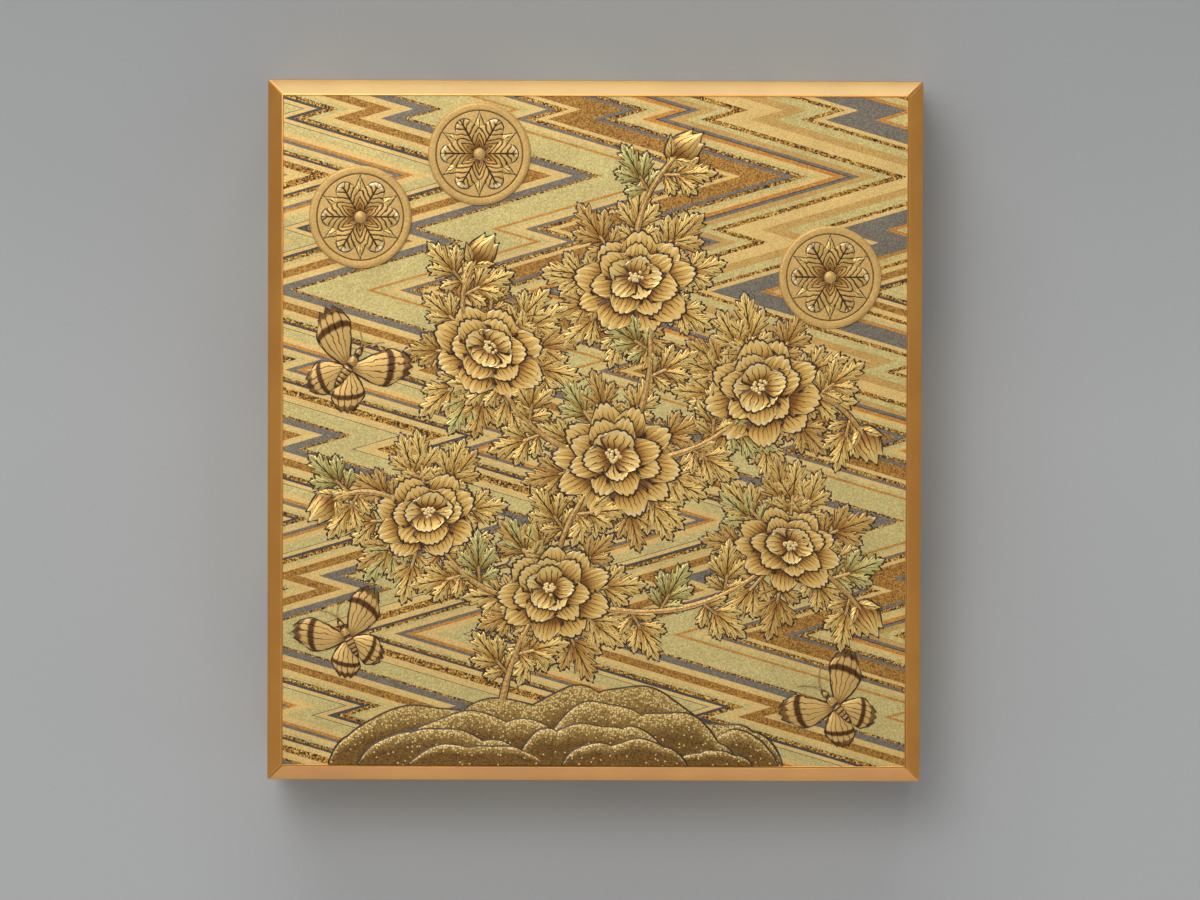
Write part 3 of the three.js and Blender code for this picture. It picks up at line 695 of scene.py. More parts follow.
def side_panels(name, low, high, body):
    """The four panels between two heights."""
    for number, side in enumerate(SIDES):
        across, reach = case_half if side[0] == 0 else (case_half.y, case_half.x)
        corner = Vector((across - PANEL_MARGIN, high - PANEL_MARGIN))
        start = Vector((-corner.x, low + PANEL_MARGIN))
        bm = striped_inlay(start, corner, zigzag(SIDE_TURNS, SIDE_SHIFTS[number]))
        stand = Matrix.Rotation(number * pi / 2, 4, "Z") @ Matrix.Translation((0, -reach, 0))
        bmesh.ops.transform(bm, matrix=stand @ Matrix.Rotation(pi / 2, 4, "X"), verts=bm.verts)
        make_piece(f"{name}_panel_{number + 1}", bm, STRIPE_FINISHES, body)


side_panels("lid", lid_walls_low, land, "lid")
side_panels("base", walls_low.z, walls_high.z, "base")

# %% [markdown]
# A curved sheet
# The ornament is built up in layers of lacquer and charcoal powder, then carved, gilded and lined: each
# petal and leaf stands a few tenths of a millimetre proud, falls off to a dark outline, which is partly
# painted shade along its edge, and carries fine dark veins that fan out from its base. One curved sheet can
# be all of them. It starts as a grid, is extruded to a closed plate, and then each point is moved to its
# place by a form: a function of how far the point is across the sheet, from -1 to 1, and along it, from 0
# to 1. The grid's own position is kept as a UV map, and the veins are drawn in it, so they bend with every
# petal.

# %% A curved sheet
# Every piece that is made of sheets has the dark line, which is partly painted shade, as its second finish.
DARK = 1
OUTLINE = 0.4
ROOT_RISE = 0.35
FULL_RISE_AT = 0.8
SHEET_MAP = "across_and_along"


def sheet(bm, columns, rows, form, top_finish=0):
    """Adds a closed sheet. The form gets across, along and whether the point is on the underside."""
    lower = bmesh.ops.create_grid(bm, x_segments=columns, y_segments=rows, size=1)["verts"]
    bottoms = faces_of(lower)
    grown = bmesh.ops.extrude_face_region(bm, geom=bottoms)["geom"]
    upper = only(BMVert, grown)
    layer = bm.loops.layers.uv.get(SHEET_MAP) or bm.loops.layers.uv.new(SHEET_MAP)
    # The walls and the underside take the dark finish: a dark outline that is partly painted shade along
    # the edge.
    for face in bottoms + faces_of(upper):
        face.material_index = DARK
        for loop in face.loops:
            loop[layer].uv = (loop.vert.co.x / 2 + 0.5, loop.vert.co.y / 2 + 0.5)
    for face in only(BMFace, grown):
        face.material_index = top_finish
    for verts, below in ((lower, True), (upper, False)):
        for vert in verts:
            vert.co = form(vert.co.x, vert.co.y / 2 + 0.5, below)
    bmesh.ops.dissolve_faces(bm, faces=bottoms)


def turned(x, y, angle):
    """A place in the plane, turned round the middle."""
    return Vector((x * cos(angle) - y * sin(angle), x * sin(angle) + y * cos(angle)))


def tongue(
    base, angle, length, half, profile, low, high, squash=None, roundness=0.1, crown=0.45, sweep=0.0,
):
    """The form of a petal or leaflet that starts at base and points along angle.

    The profile gives its half width, as a share, for a place along it, the roundness how far its end
    falls back at the sides, the crown how far its sides drop, and the sweep how far they lean forwards.
    Its underside is a little wider, which makes the dark outline: a line, and painted shade along the edge."""

    def form(across, along, below):
        edge = OUTLINE if below else 0.0
        fall = roundness * along * (1 - sqrt(max(0.0, 1 - across**2)))
        reach = length * along * (1 - fall) + edge * (1 if along > 0.5 else -1)
        side = across * (half * profile(along) + edge)
        spot = turned(reach + sweep * abs(side), side, angle)
        if squash:
            centre, turn, share = squash
            local = turned(*(base + spot - centre), -turn)
            spot = turned(local.x, local.y * share, turn) + centre
        else:
            spot = spot + base
        if below:
            height = low
        else:
            climb = ROOT_RISE + (1 - ROOT_RISE) * sin(pi / 2 * min(1.0, along / FULL_RISE_AT))
            height = low + (high - low) * (1 - crown * across**2) * climb
        return Vector((spot.x, spot.y, field_top + height))

    return form


print("a sheet's outline is", OUTLINE, "mm wide")

# %% [markdown]
# Carved gold
# On the petals the veins run from the base nearly to the rim, which is plain, with a painted highlight here
# and there, and drawn round with a dark line that is partly painted shade. On the leaves one midrib carries
# slanting side veins. Both are lines in the sheet's own map: a ping-pong of the place across it gives
# evenly spaced grooves, and a little noise keeps them from looking ruled. The tones are what the gold is
# multiplied by along the sheet: painted shade, dark at its base, where it lies deepest.

# %% Carved gold
# Painted shade: the gold is darker at the base of each sheet, where the next one overlaps it.
BASE_PAINTED_SHADE = [(0.0, "#94744a"), (0.22, "#e0ccaa"), (0.45, "#ffffff")]
GROOVE_SLANT = -0.75


def veins(tree, place, off_middle, wander, lines, width, midrib):
    """Grooves across the sheet: 0 in a groove, 1 beside it. With a midrib they slant away from it."""
    across = off_middle
    if midrib:
        across = add(
            tree,
            "ShaderNodeMath",
            {0: off_middle, 1: GROOVE_SLANT, 2: place.outputs["Y"]},
            operation="MULTIPLY_ADD",
        )
    phase = add(tree, "ShaderNodeMath", {0: across, 1: lines, 2: wander}, operation="MULTIPLY_ADD")
    wave = add(tree, "ShaderNodeMath", {0: phase, 1: 0.5}, operation="PINGPONG")
    groove = add(
        tree,
        "ShaderNodeMapRange",
        {"Value": wave, "From Min": 0.02, "From Max": width},
        interpolation_type="SMOOTHSTEP",
    )
    if midrib:
        rib = add(
            tree,
            "ShaderNodeMapRange",
            {"Value": off_middle, "From Min": 0.3 * midrib, "From Max": midrib},
            interpolation_type="SMOOTHSTEP",
        )
        groove = add(tree, "ShaderNodeMath", {0: groove, 1: rib}, operation="MINIMUM")
    return groove


def contour(tree, place, off_middle):
    """1 along the sheet's sides and its end, 0 elsewhere."""
    side = add(tree, "ShaderNodeMapRange", {"Value": off_middle, "From Min": 0.45, "From Max": 0.485})
    end = add(
        tree, "ShaderNodeMapRange", {"Value": place.outputs["Y"], "From Min": 0.95, "From Max": 0.975},
    )
    return add(tree, "ShaderNodeMath", {0: side, 1: end}, operation="MAXIMUM")


def carved_gold(
    name, light, dark, lines, rim_highlight_and_margin="#f8e3b0", tones=BASE_PAINTED_SHADE, width=0.13, midrib=0, plain_rim=False,
):
    """Gold with dark veins and painted shade along the sheet, and a painted highlight here and there on its
    rim; on wings the rim takes a dark margin instead.
    """
    material, tree, shader, where = surface(name, metallic=0.5, roughness=0.36, coat=0.1)
    on_sheet = add(tree, "ShaderNodeUVMap", uv_map=SHEET_MAP)
    place = add(tree, "ShaderNodeSeparateXYZ", {"Vector": on_sheet})
    wander = add(tree, "ShaderNodeTexNoise", {"Vector": where, "Scale": 1 / (2.5 * MM), "Detail": 2})
    from_middle = add(tree, "ShaderNodeMath", {0: place.outputs["X"], 1: 0.5}, operation="SUBTRACT")
    off_middle = add(tree, "ShaderNodeMath", {0: from_middle}, operation="ABSOLUTE")
    groove = veins(tree, place, off_middle, wander, lines, width, midrib)
    if plain_rim:
        fading = add(
            tree,
            "ShaderNodeMapRange",
            {"Value": place.outputs["Y"], "From Min": 0.62, "From Max": 0.9},
            interpolation_type="SMOOTHSTEP",
        )
        groove = add(tree, "ShaderNodeMath", {0: groove, 1: fading}, operation="MAXIMUM")
    lined = add(tree, "ShaderNodeMixRGB", {"Fac": groove, "Color1": srgb(dark), "Color2": srgb(light)})
    # Painted shade along the sheet; on wings the ramp also draws the dark bands.
    painted_shade_and_bands = add(tree, "ShaderNodeValToRGB", {"Fac": place.outputs["Y"]}, stops=tones)
    shaded = add(
        tree, "ShaderNodeMixRGB", {"Fac": 1.0, "Color1": lined, "Color2": painted_shade_and_bands}, blend_type="MULTIPLY",
    )
    # Painted highlight along the end of the sheet, broken by noise; on wings a dark margin.
    rim = add(
        tree,
        "ShaderNodeMapRange",
        {"Value": place.outputs["Y"], "From Min": 0.86, "From Max": 0.93, "To Max": 0.9},
    )
    broken = add(tree, "ShaderNodeMapRange", {"Value": wander, "From Min": 0.4, "From Max": 0.6})
    highlight_and_margin_mask = add(tree, "ShaderNodeMath", {0: rim, 1: broken}, operation="MULTIPLY")
    colour = add(tree, "ShaderNodeMixRGB", {"Fac": highlight_and_margin_mask, "Color1": shaded, "Color2": srgb(rim_highlight_and_margin)})
    # A dark contour round the plain rim: a drawn line that is partly painted shade.
    if plain_rim:
        edge = contour(tree, place, off_middle)
        colour = add(tree, "ShaderNodeMixRGB", {"Fac": edge, "Color1": colour, "Color2": srgb(dark)})
    dress(tree, shader, colour, groove, 0.7, 0.1)
    return material


print("a groove's slant beside a midrib is", GROOVE_SLANT)

# %% [markdown]
# The carved golds
# Petals are the brightest gold and carry the deepest painted shade, because they overlap. Leaves are gilded
# in three golds, as if some lay further back. Wings carry two dark bands, and painted shade at the root.
# The stems and the outlines have no veins, so they are sprinkled powders, one gold and one nearly black,
# which is partly painted shade along the edges.

# %% The carved golds
# Painted shade: petals and the heart's petals are darkest at their base, under the next tier.
PETAL_PAINTED_SHADE = [(0.0, "#573a1b"), (0.4, "#98764a"), (0.62, "#e8d9bc"), (0.8, "#ffffff")]
HEART_PAINTED_SHADE = [(0.0, "#5b3f1f"), (0.3, "#a58358"), (0.55, "#efe2ca"), (0.75, "#ffffff")]
# The dark bands are the wings' pattern; the darker root is painted shade.
WING_BANDS_AND_PAINTED_SHADE = [
    (0.0, "#a58559"), (0.25, "#ffffff"), (0.62, "#ffffff"), (0.66, "#6b5434"), (0.74, "#6b5434"),
    (0.78, "#ffffff"), (0.88, "#ffffff"), (0.92, "#6b5434"),
]

petal_gold = carved_gold(
    "carved_petal_gold", "#f4c872", "#452b12", 8, tones=PETAL_PAINTED_SHADE, width=0.11, plain_rim=True,
)
inner_gold = carved_gold(
    "carved_inner_petal_gold", "#fad380", "#452b12", 5, rim_highlight_and_margin="#fff2cc", tones=HEART_PAINTED_SHADE, plain_rim=True,
)
leaf_gold = carved_gold("carved_leaf_gold", "#f8cf77", "#3f290f", 4, midrib=0.07)
green_leaf_gold = carved_gold("carved_green_gold", "#dccb7c", "#463b20", 4, midrib=0.07)
dim_leaf_gold = carved_gold("engraved_leaf_gold", "#deb05f", "#5a3a17", 4, midrib=0.07)
wing_gold = carved_gold("carved_wing_gold", "#e6b96c", "#6a4822", 5, rim_highlight_and_margin="#8a6638", tones=WING_BANDS_AND_PAINTED_SHADE)
rosette_gold = carved_gold("carved_rosette_gold", "#d9ad60", "#2d1c0c", 5.5, width=0.27, midrib=0.05)
# A nearly black powder for the outlines, which is partly painted shade along the edges of the sheets.
outline_and_painted_shade = sprinkled(
    "dark_outline_and_painted_shade", [(0, "#2b1d12"), (0.7, "#46331f"), (1, "#6a4d2c")], 0.4, metallic=0.1,
)
stem_gold = sprinkled("stem_gold_powder", [(0, "#b9873f"), (0.5, "#d3a35a"), (1, "#e6bd7a")], 0.5)
lip_gold = sprinkled("bright_stamen_gold", [(0, "#e9bf6e"), (1, "#fbe2a6")], 0.4)
print("carved golds:", petal_gold.name, leaf_gold.name, green_leaf_gold.name)

# %% [markdown]
# The layout
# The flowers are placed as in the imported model: each place is a share of the field's half width and half
# depth. A stem bends once, between its two ends. A leaf leaves it at a share of its length, at an angle
# to it, and starts on the stem or from below a blossom.

# %% The layout
BLOSSOM_RADIUS = 20.0
BUD_RADIUS = 6.0
# Place, size, how much of its depth is seen, turn in degrees and number of petals
BLOSSOMS = [
    ((0.13, 0.44), 1.075, 0.84, 8, 13), ((-0.34, 0.235), 1.0, 0.78, -24, 12),
    ((0.54, 0.12), 1.05, 0.86, 30, 14), ((0.075, -0.085), 1.125, 0.9, -6, 15),
    ((-0.54, -0.26), 0.925, 0.8, 20, 12), ((0.62, -0.35), 0.95, 0.76, -18, 13),
    ((-0.13, -0.485), 0.975, 0.88, 14, 14),
]
# Start, bend and end of each stem, its bud's size, and its leaves: the share of the stem where each one
# leaves it, the angle to it, and how far out it starts, as a share of a blossom's radius
STEMS = [
    ((-0.3, -0.84), (-0.26, -0.6), (-0.13, -0.485), 0,
     [(0.25, 56, 0), (0.4, -56, 0), (1, 138, 0.6), (1, 80, 0.6), (1, -80, 0.55)]),
    ((-0.13, -0.485), (-0.13, -0.25), (0.075, -0.085), 0,
     [(0.42, 56, 0), (0.55, -56, 0), (1, 84, 0.7), (1, -62, 0.7), (1, -96, 0.7)]),
    ((0.075, -0.085), (0.25, 0.2), (0.13, 0.44), 0,
     [(0.45, -56, 0), (0.6, 56, 0), (1, 60, 0.65), (1, -64, 0.65), (1, 104, 0.65)]),
    ((-0.13, -0.485), (-0.4, -0.55), (-0.54, -0.26), 0,
     [(0.5, -56, 0), (0.62, 56, 0), (1, -8, 0.55), (1, -52, 0.55), (1, 110, 0.55)]),
    ((0.075, -0.085), (-0.25, -0.06), (-0.34, 0.235), 0,
     [(0.45, 56, 0), (0.55, -56, 0), (0.8, 56, 0), (1, 140, 0.6), (1, -74, 0.6)]),
    ((0.075, -0.085), (0.36, -0.1), (0.54, 0.12), 0,
     [(0.45, -56, 0), (0.6, 56, 0), (0.7, -56, 0), (1, 66, 0.65), (1, 106, 0.6)]),
    ((-0.13, -0.485), (0.3, -0.64), (0.62, -0.35), 0,
     [(0.3, -56, 0), (0.42, 56, 0), (0.6, -56, 0), (0.7, 56, 0), (1, 40, 0.6), (1, 96, 0.55)]),
    ((0.13, 0.44), (0.1, 0.7), (0.29, 0.85), 1.08, [(0.6, 56, 0), (0.75, -56, 0)]),
    ((0.54, 0.12), (0.78, 0.16), (0.88, -0.04), 1.0, [(0.42, 56, 0), (0.75, -56, 0)]),
    ((-0.34, 0.235), (-0.5, 0.36), (-0.36, 0.54), 1.0, [(0.6, -56, 0), (0.7, 56, 0)]),
    ((-0.54, -0.26), (-0.74, -0.12), (-0.87, -0.23), 1.0, [(0.6, 56, 0), (0.7, -56, 0)]),
    ((0.62, -0.35), (0.8, -0.44), (0.88, -0.56), 1.0, [(0.45, 56, 0), (0.7, -56, 0)]),
]


def on_field(place):
    """A place that is given in shares of the field, in millimetres."""
    return Vector((place[0] * field_half.x, place[1] * field_half.y))


def bezier(start, bend, end, share):
    """The point and the direction at a share of a curve that bends once."""
    spot = (1 - share) ** 2 * start + 2 * share * (1 - share) * bend + share**2 * end
    way = (1 - share) * (bend - start) + share * (end - bend)
    return spot, way.normalized()


print(f"{len(BLOSSOMS)} blossoms and {len(STEMS)} stems")

# %% [markdown]
# Petals
# No two petals of handmade ornament are alike: each is a little longer, wider or further turned than the
# next, and each end is scalloped in its own way. Copies of one petal would look stamped. So every petal
# is a sheet of its own, and its form is changed twice more: its end moves out and in along the scallops,
# and shallow pleats and a cup raise its end and its sides.

# %% Petals
PETAL_RISE = 0.33
PLEAT = 0.12
WIDEST = 0.7
BASE_WIDTH = 0.24
END_NARROWING = 0.14


def petal_profile(along):
    """Narrow at the base, widest near the rim, with a rounded end."""
    if along < WIDEST:
        return BASE_WIDTH + (1 - BASE_WIDTH) * sin(pi / 2 * along / WIDEST)
    return 1.0 - END_NARROWING * ((along - WIDEST) / (1 - WIDEST)) ** 2


def petal_form(centre, angle, inner, outer, half, low, squash, cup):
    """A petal from the inner to the outer radius of its tier."""
    base = centre + turned(inner, 0, angle)
    high = low + PETAL_RISE
    roundness = chance.uniform(0.5, 0.78)
    plain = tongue(base, angle, outer - inner, half, petal_profile, low, high, squash, roundness, 0.3)
    lobes = chance.choice((4, 5, 5, 6)) * pi / 2
    shift = chance.uniform(-0.7, 0.7)
    deep = chance.uniform(0.12, 0.18)

    def form(across, along, below):
        scallop = sqrt(abs(sin(across * lobes + shift))) - 0.6
        spot = plain(across, along + deep * scallop * along**4, below)
        if not below:
            spot.z += PLEAT * scallop * along + cup * (along**3 + across**2 * along - 0.5)
        return spot

    return form


print("at its base a petal has", petal_profile(0), "of its width")

# %% [markdown]
# Blossoms
# A blossom has three tiers of petals, each smaller and higher than the one below, round a heart of
# stamens. It is seen a little from one side, so it is squashed across and its heart leans off the
# middle. In each tier every second petal slips under its neighbours. The stamens stand on a spiral, each
# a golden angle further on than the last, which fills the heart evenly.

# %% Blossoms
# Each tier's share of the petal count, outer and inner radius, underside, cup and finish
TIERS = [
    (0.66, 1.03, 0.34, 0.1, 0.03, 0),
    (0.52, 0.72, 0.14, 0.6, 0.06, 0),
    (0.36, 0.46, 0.03, 1.08, 0.16, 2),
]
TIER_TURN = 0.2
OVER_NEIGHBOUR = 0.25
STAMENS = 18
STAMEN_RADIUS = 0.035
STAMEN_HEIGHT = 1.5
GOLDEN_ANGLE = 2.4


def stamens(bm, heart, radius, share, turn):
    """Flat beads in the heart of a blossom."""
    for i in range(STAMENS):
        away = radius * chance.uniform(0.02, 0.13)
        spot = turned(away, 0, GOLDEN_ANGLE * i)
        spot = heart + turned(spot.x, spot.y * share, turn)
        bead = bmesh.ops.create_icosphere(bm, subdivisions=1, radius=STAMEN_RADIUS * radius)["verts"]
        bmesh.ops.scale(bm, vec=(1, 1, 0.6), verts=bead)
        bmesh.ops.translate(bm, vec=(*spot, field_top + STAMEN_HEIGHT), verts=bead)
        for face in faces_of(bead):
            face.material_index = 3


def blossom(number, place, size, share, turn, petals):
    """One blossom: its tiers of petals from the lowest up, and its stamens."""
    centre = on_field(place)
    turn = radians(turn)
    radius = BLOSSOM_RADIUS * size
    lean = turned(0, chance.uniform(0.8, 1.5), chance.uniform(-1, 1))
    bm = bmesh.new()
    start = turn
    for tier, (count_share, outer, inner, low, cup, finish) in enumerate(TIERS):
        count = round(petals * count_share)
        heart = centre + lean * tier * size
        squash = (heart, turn, share)
        for i in range(count):
            angle = start + 2 * pi * (i + chance.uniform(-0.2, 0.2)) / count
            reach = radius * outer * chance.uniform(0.9, 1.0)
            half = pi * radius * outer / count * chance.uniform(0.82, 1.0)
            over = 0.0 if i % 2 else OVER_NEIGHBOUR
            form = petal_form(heart, angle, radius * inner, reach, half, low + over, squash, cup)
            sheet(bm, 28, 8, form, finish)
        start += pi / count + TIER_TURN
    stamens(bm, heart, radius, share, turn)
    finishes = [petal_gold, outline_and_painted_shade, inner_gold, lip_gold]
    make_piece(f"blossom_{number}_petals", bm, finishes, "lid", [f"blossom_{number}"])


for number, described in enumerate(BLOSSOMS, 1):
    blossom(number, *described)

# %% [markdown]
# Leaves
# Each leaf is a spray of five leaflets on a short stalk, like the lobes of its outline in the packed
# model. The leaflets are cut into pointed fingers that sweep forwards: at every third row of the grid
# the edge steps back to a notch. Some leaves are gilded with green gold. Round each blossom low ones in
# a dim gold alternate with bright ones, as if they lay further back.

# %% Leaves
LEAF_FINISHES = [leaf_gold, outline_and_painted_shade, stem_gold, green_leaf_gold, dim_leaf_gold, petal_gold, inner_gold]
BRIGHT, _, STEM, GREENISH, DIM, PETAL, HEART = range(len(LEAF_FINISHES))
SIDE_WAY = 62
# Where a leaflet starts on the stalk, the angle at which it leaves, its length and its half width
LEAFLETS = [
    (1.5, SIDE_WAY, 8.0, 2.3), (1.5, -SIDE_WAY, 8.0, 2.3), (5.0, 40, 10.2, 2.8), (5.0, -40, 10.2, 2.8),
    (6.0, 0, 13.6, 3.4),
]
LEAF_LENGTH = 20
STALK_LENGTH = 7
STALK_HALF_WIDTH = 0.45
LEAFLET_ROWS = 12
SIDE_DROP = 0.1
TOOTH = (0.5, 0.82, 1.0)
UNDER_PETALS = 0.28
BACK_LEAVES = 9
BACK_LEAF_START = 0.62
MARGIN = 4


def lance(along):
    """The half width of a lance: nearly pointed at both ends."""
    return 0.06 + sin(pi * along**0.8)


def leaflet_profile(along):
    """A lance cut into fingers."""
    return lance(along) * TOOTH[round(along * LEAFLET_ROWS) % 3]


def leaf(bm, base, angle, length, low, high, finish):
    """A spray of leaflets. Its length is a share of the common one."""
    for start, way, reach, half in LEAFLETS:
        tilt = angle + radians(way + chance.uniform(-5, 5))
        at = base + turned(start * length, 0, angle)
        top = high - SIDE_DROP * abs(way) / SIDE_WAY
        size = (reach * length, half * length)
        form = tongue(at, tilt, *size, leaflet_profile, low, top, crown=0.2, sweep=0.9)
        sheet(bm, 4, LEAFLET_ROWS, form, finish)
    reach = STALK_LENGTH * length
    stalk = tongue(base, angle, reach, STALK_HALF_WIDTH, lambda along: 1.0, low, high * 0.8)
    sheet(bm, 2, 2, stalk, STEM)


def inside_field(spot):
    """Whether a spot lies on the field, with a margin to its edge."""
    return abs(spot.x) < field_half.x - MARGIN and abs(spot.y) < field_half.y - MARGIN


def back_leaves(number, place, size, turn):
    """Low leaves that show all round a blossom, where the field has room for them."""
    bm = bmesh.new()
    centre = on_field(place)
    for i in range(BACK_LEAVES):
        angle = radians(turn) + 2 * pi * (i + chance.uniform(-0.25, 0.25)) / BACK_LEAVES
        length = chance.uniform(0.85, 1.15)
        base = centre + turned(BLOSSOM_RADIUS * size * BACK_LEAF_START, 0, angle)
        if inside_field(base + turned(LEAF_LENGTH * length, 0, angle)):
            leaf(bm, base, angle, length, 0.0, UNDER_PETALS, DIM if i % 2 else BRIGHT)
    make_piece(f"back_leaves_{number}", bm, LEAF_FINISHES, "lid")


for number, (place, size, _, turn, _) in enumerate(BLOSSOMS, 1):
    back_leaves(number, place, size, turn)

# %% [markdown]
# Stems and buds
# A stem is the same kind of sheet, drawn along its curve and thinner towards the flower, with a few
# knots. Where a blossom covers it, it dips under the petals. A bud is three pointed petals that overlap,
# held by two short sepals.

# %% Stems and buds
STEM_HALF_WIDTH = 1.0
STEM_HEIGHT = 0.7
DIPPED = 0.05
COVER = 0.75
# Each petal's angle to the stem, length and half width in shares of the bud, height and finish
BUD_PETALS = [
    (15, 1.95, 0.66, 0.9, PETAL), (-15, 1.95, 0.66, 0.9, PETAL), (0, 2.2, 0.74, 1.32, HEART),
    (52, 1.3, 0.3, 1.0, BRIGHT), (-52, 1.3, 0.3, 1.0, BRIGHT),
]


def covered(spot):
    """Whether a blossom's petals cover a spot."""
    for place, size, _, _, _ in BLOSSOMS:
        if (spot - on_field(place)).length < COVER * BLOSSOM_RADIUS * size:
            return True
    return False


def stem_form(start, bend, end):
    """A stem along its curve."""

    def form(across, along, below):
        spot, way = bezier(start, bend, end, along)
        half = STEM_HALF_WIDTH * (1 - 0.4 * along) + (OUTLINE if below else 0)
        knot = 1 + 0.15 * sin(along * 17 + start.x)
        side = Vector((-way.y, way.x)) * across * half * knot
        rise = DIPPED if covered(spot) else STEM_HEIGHT
        height = 0 if below else rise * (1 - 0.5 * across**2)
        return Vector((spot.x + side.x, spot.y + side.y, field_top + height))

    return form


def bud_profile(along):
    """Round at the base and pointed at the tip."""
    return sin(pi * (0.1 + 0.9 * along) ** 0.7) ** 0.9 + 0.03


def bud(bm, centre, way, size):
    """A bud that looks along the stem's way."""
    radius = BUD_RADIUS * size
    heading = atan2(way.y, way.x)
    base = centre - way * radius
    for tilt, length, half, high, finish in BUD_PETALS:
        angle = heading + radians(tilt)
        sheet(bm, 6, 8, tongue(base, angle, radius * length, radius * half, bud_profile, 0, high), finish)


for number, (start, bend, end, bud_size, leaves) in enumerate(STEMS, 1):
    curve = [on_field(place) for place in (start, bend, end)]
    bm = bmesh.new()
    sheet(bm, 4, 16, stem_form(*curve), STEM)
    for i, (share, turn, out) in enumerate(leaves):
        spot, way = bezier(*curve, share)
        angle = atan2(way.y, way.x) + radians(turn)
        base = spot + turned(out * BLOSSOM_RADIUS, 0, angle)
        high = UNDER_PETALS if out else STEM_HEIGHT
        leaf(bm, base, angle, 1.0, 0.0, high, GREENISH if (i + number) % 4 == 0 else BRIGHT)
    if bud_size:
        bud(bm, curve[2], bezier(*curve, 1)[1], bud_size)
    nodes = ["flower_stems"] if number == 1 else []
    make_piece(f"stem_{number}", bm, LEAF_FINISHES, "lid", nodes)

# %% [markdown]
# Roundels
# A roundel is a low disc whose flat rim is set off by a groove, turned on a lathe in spirit: its outline
# is drawn once and spun round the axis. On it lies a plain rosette of six veined petals, with six small
# leaves between them and a boss in the middle.

# %% Roundels
ROUNDEL_RADIUS = 17.6
RIM_HEIGHT = 1.3
RIM_WIDTH = 2.5
GROOVE_WIDTH = 0.5
GROOVE_FLOOR = 0.95
GROUND_HEIGHT = 1.15
ROSETTE_FOOT = 1.1
ROSETTE_WIDEST = 0.68
BOSS_RADIUS = 2.1
BOSS_HEIGHT = 0.55
# Where each starts, its length, its half width and its height
ROSETTE_PETAL = (1.6, 11.6, 4.9, 1.5)
ROSETTE_LEAFLET = (5.2, 9.0, 1.5, 1.38)


def spun(profile, steps):
    """Spins an outline of radius and height round the Z axis. It starts and ends on the axis."""
    bm = bmesh.new()
    points = [bm.verts.new((radius, 0, height)) for radius, height in profile]
    outline = [bm.edges.new(pair) for pair in zip(points, points[1:])]
    bmesh.ops.spin(
        bm, geom=points + outline, cent=(0, 0, 0), axis=UP, dvec=(0, 0, 0), angle=2 * pi, steps=steps,
        use_merge=True, use_duplicate=False,
    )
    bmesh.ops.remove_doubles(bm, verts=bm.verts, dist=HAIR)
    bmesh.ops.recalc_face_normals(bm, faces=bm.faces)
    return bm


rim_gold = sprinkled(
    "matt_roundel_gold", [(0, "#cca057"), (0.5, "#dbb066"), (1, "#e6bf76")], 0.35, roughness=0.45,
)
groove_gold = sprinkled(
    "dark_groove_gold", [(0, "#7d5a2b"), (0.5, "#8f6a35"), (1, "#a37d44")], 0.35, roughness=0.5,
)


def rosette_profile(along):
    """A petal's half width: narrow at the base, wide to its round end."""
    widening = 0.1 + 0.9 * sin(pi / 2 * min(1.0, along / ROSETTE_WIDEST))
    return widening - 0.35 * max(0.0, along - ROSETTE_WIDEST) / (1 - ROSETTE_WIDEST)


def rosette_part(centre, angle, size, profile, roundness=0.1):
    """The form of a petal or leaflet of the rosette."""
    start, length, half, high = size
    base = centre + turned(start, 0, angle)
    return tongue(base, angle, length, half, profile, ROSETTE_FOOT, high, roundness=roundness)


def roundel(number):
    """The disc, dark in its groove, and the rosette on it."""
    low, high = low_high(f"roundel_{number}")
    centre = Vector(((low.x + high.x) / 2, (low.y + high.y) / 2))
    outer = ROUNDEL_RADIUS
    inner = outer - RIM_WIDTH
    ground = inner - GROOVE_WIDTH
    profile = [
        (0, 0), (outer, 0), (outer, 0.8), (outer - 0.12, 1.05), (outer - 0.45, RIM_HEIGHT - 0.05),
        (outer - 0.9, RIM_HEIGHT), (inner + 0.2, RIM_HEIGHT), (inner, RIM_HEIGHT - 0.08),
        (inner - 0.1, GROOVE_FLOOR), (ground + 0.1, GROOVE_FLOOR), (ground, GROUND_HEIGHT - 0.05),
        (ground - 0.2, GROUND_HEIGHT), (0, GROUND_HEIGHT),
    ]
    bm = spun(profile, 96)
    for face in bm.faces:
        if ground < face.calc_center_median().xy.length < inner:
            face.material_index = 4
    bmesh.ops.translate(bm, vec=(*centre, field_top), verts=bm.verts)
    for i in range(6):
        angle = i * pi / 3 + pi / 6
        sheet(bm, 4, LEAFLET_ROWS, rosette_part(centre, angle, ROSETTE_LEAFLET, lance), 3)
    for i in range(6):
        petal = rosette_part(centre, i * pi / 3, ROSETTE_PETAL, rosette_profile, 0.3)
        sheet(bm, 12, 10, petal, 2)
    boss = bmesh.ops.create_uvsphere(bm, u_segments=20, v_segments=10, radius=1)["verts"]
    bmesh.ops.scale(bm, vec=(BOSS_RADIUS, BOSS_RADIUS, BOSS_HEIGHT), verts=boss)
    bmesh.ops.translate(bm, vec=(*centre, field_top + ROSETTE_FOOT), verts=boss)
    finishes = [rim_gold, outline_and_painted_shade, rosette_gold, leaf_gold, groove_gold]
    make_piece(f"roundel_{number}_rosette", bm, finishes, "lid", [f"roundel_{number}"])


for number in (1, 2, 3):
    roundel(number)

# %% [markdown]
# Wings and feelers
# A wing is a sheet whose veins fan out from its root and whose outer edge is scalloped. It bends forwards
# or back as it goes out. A feeler is a narrow sheet too, curled outwards.

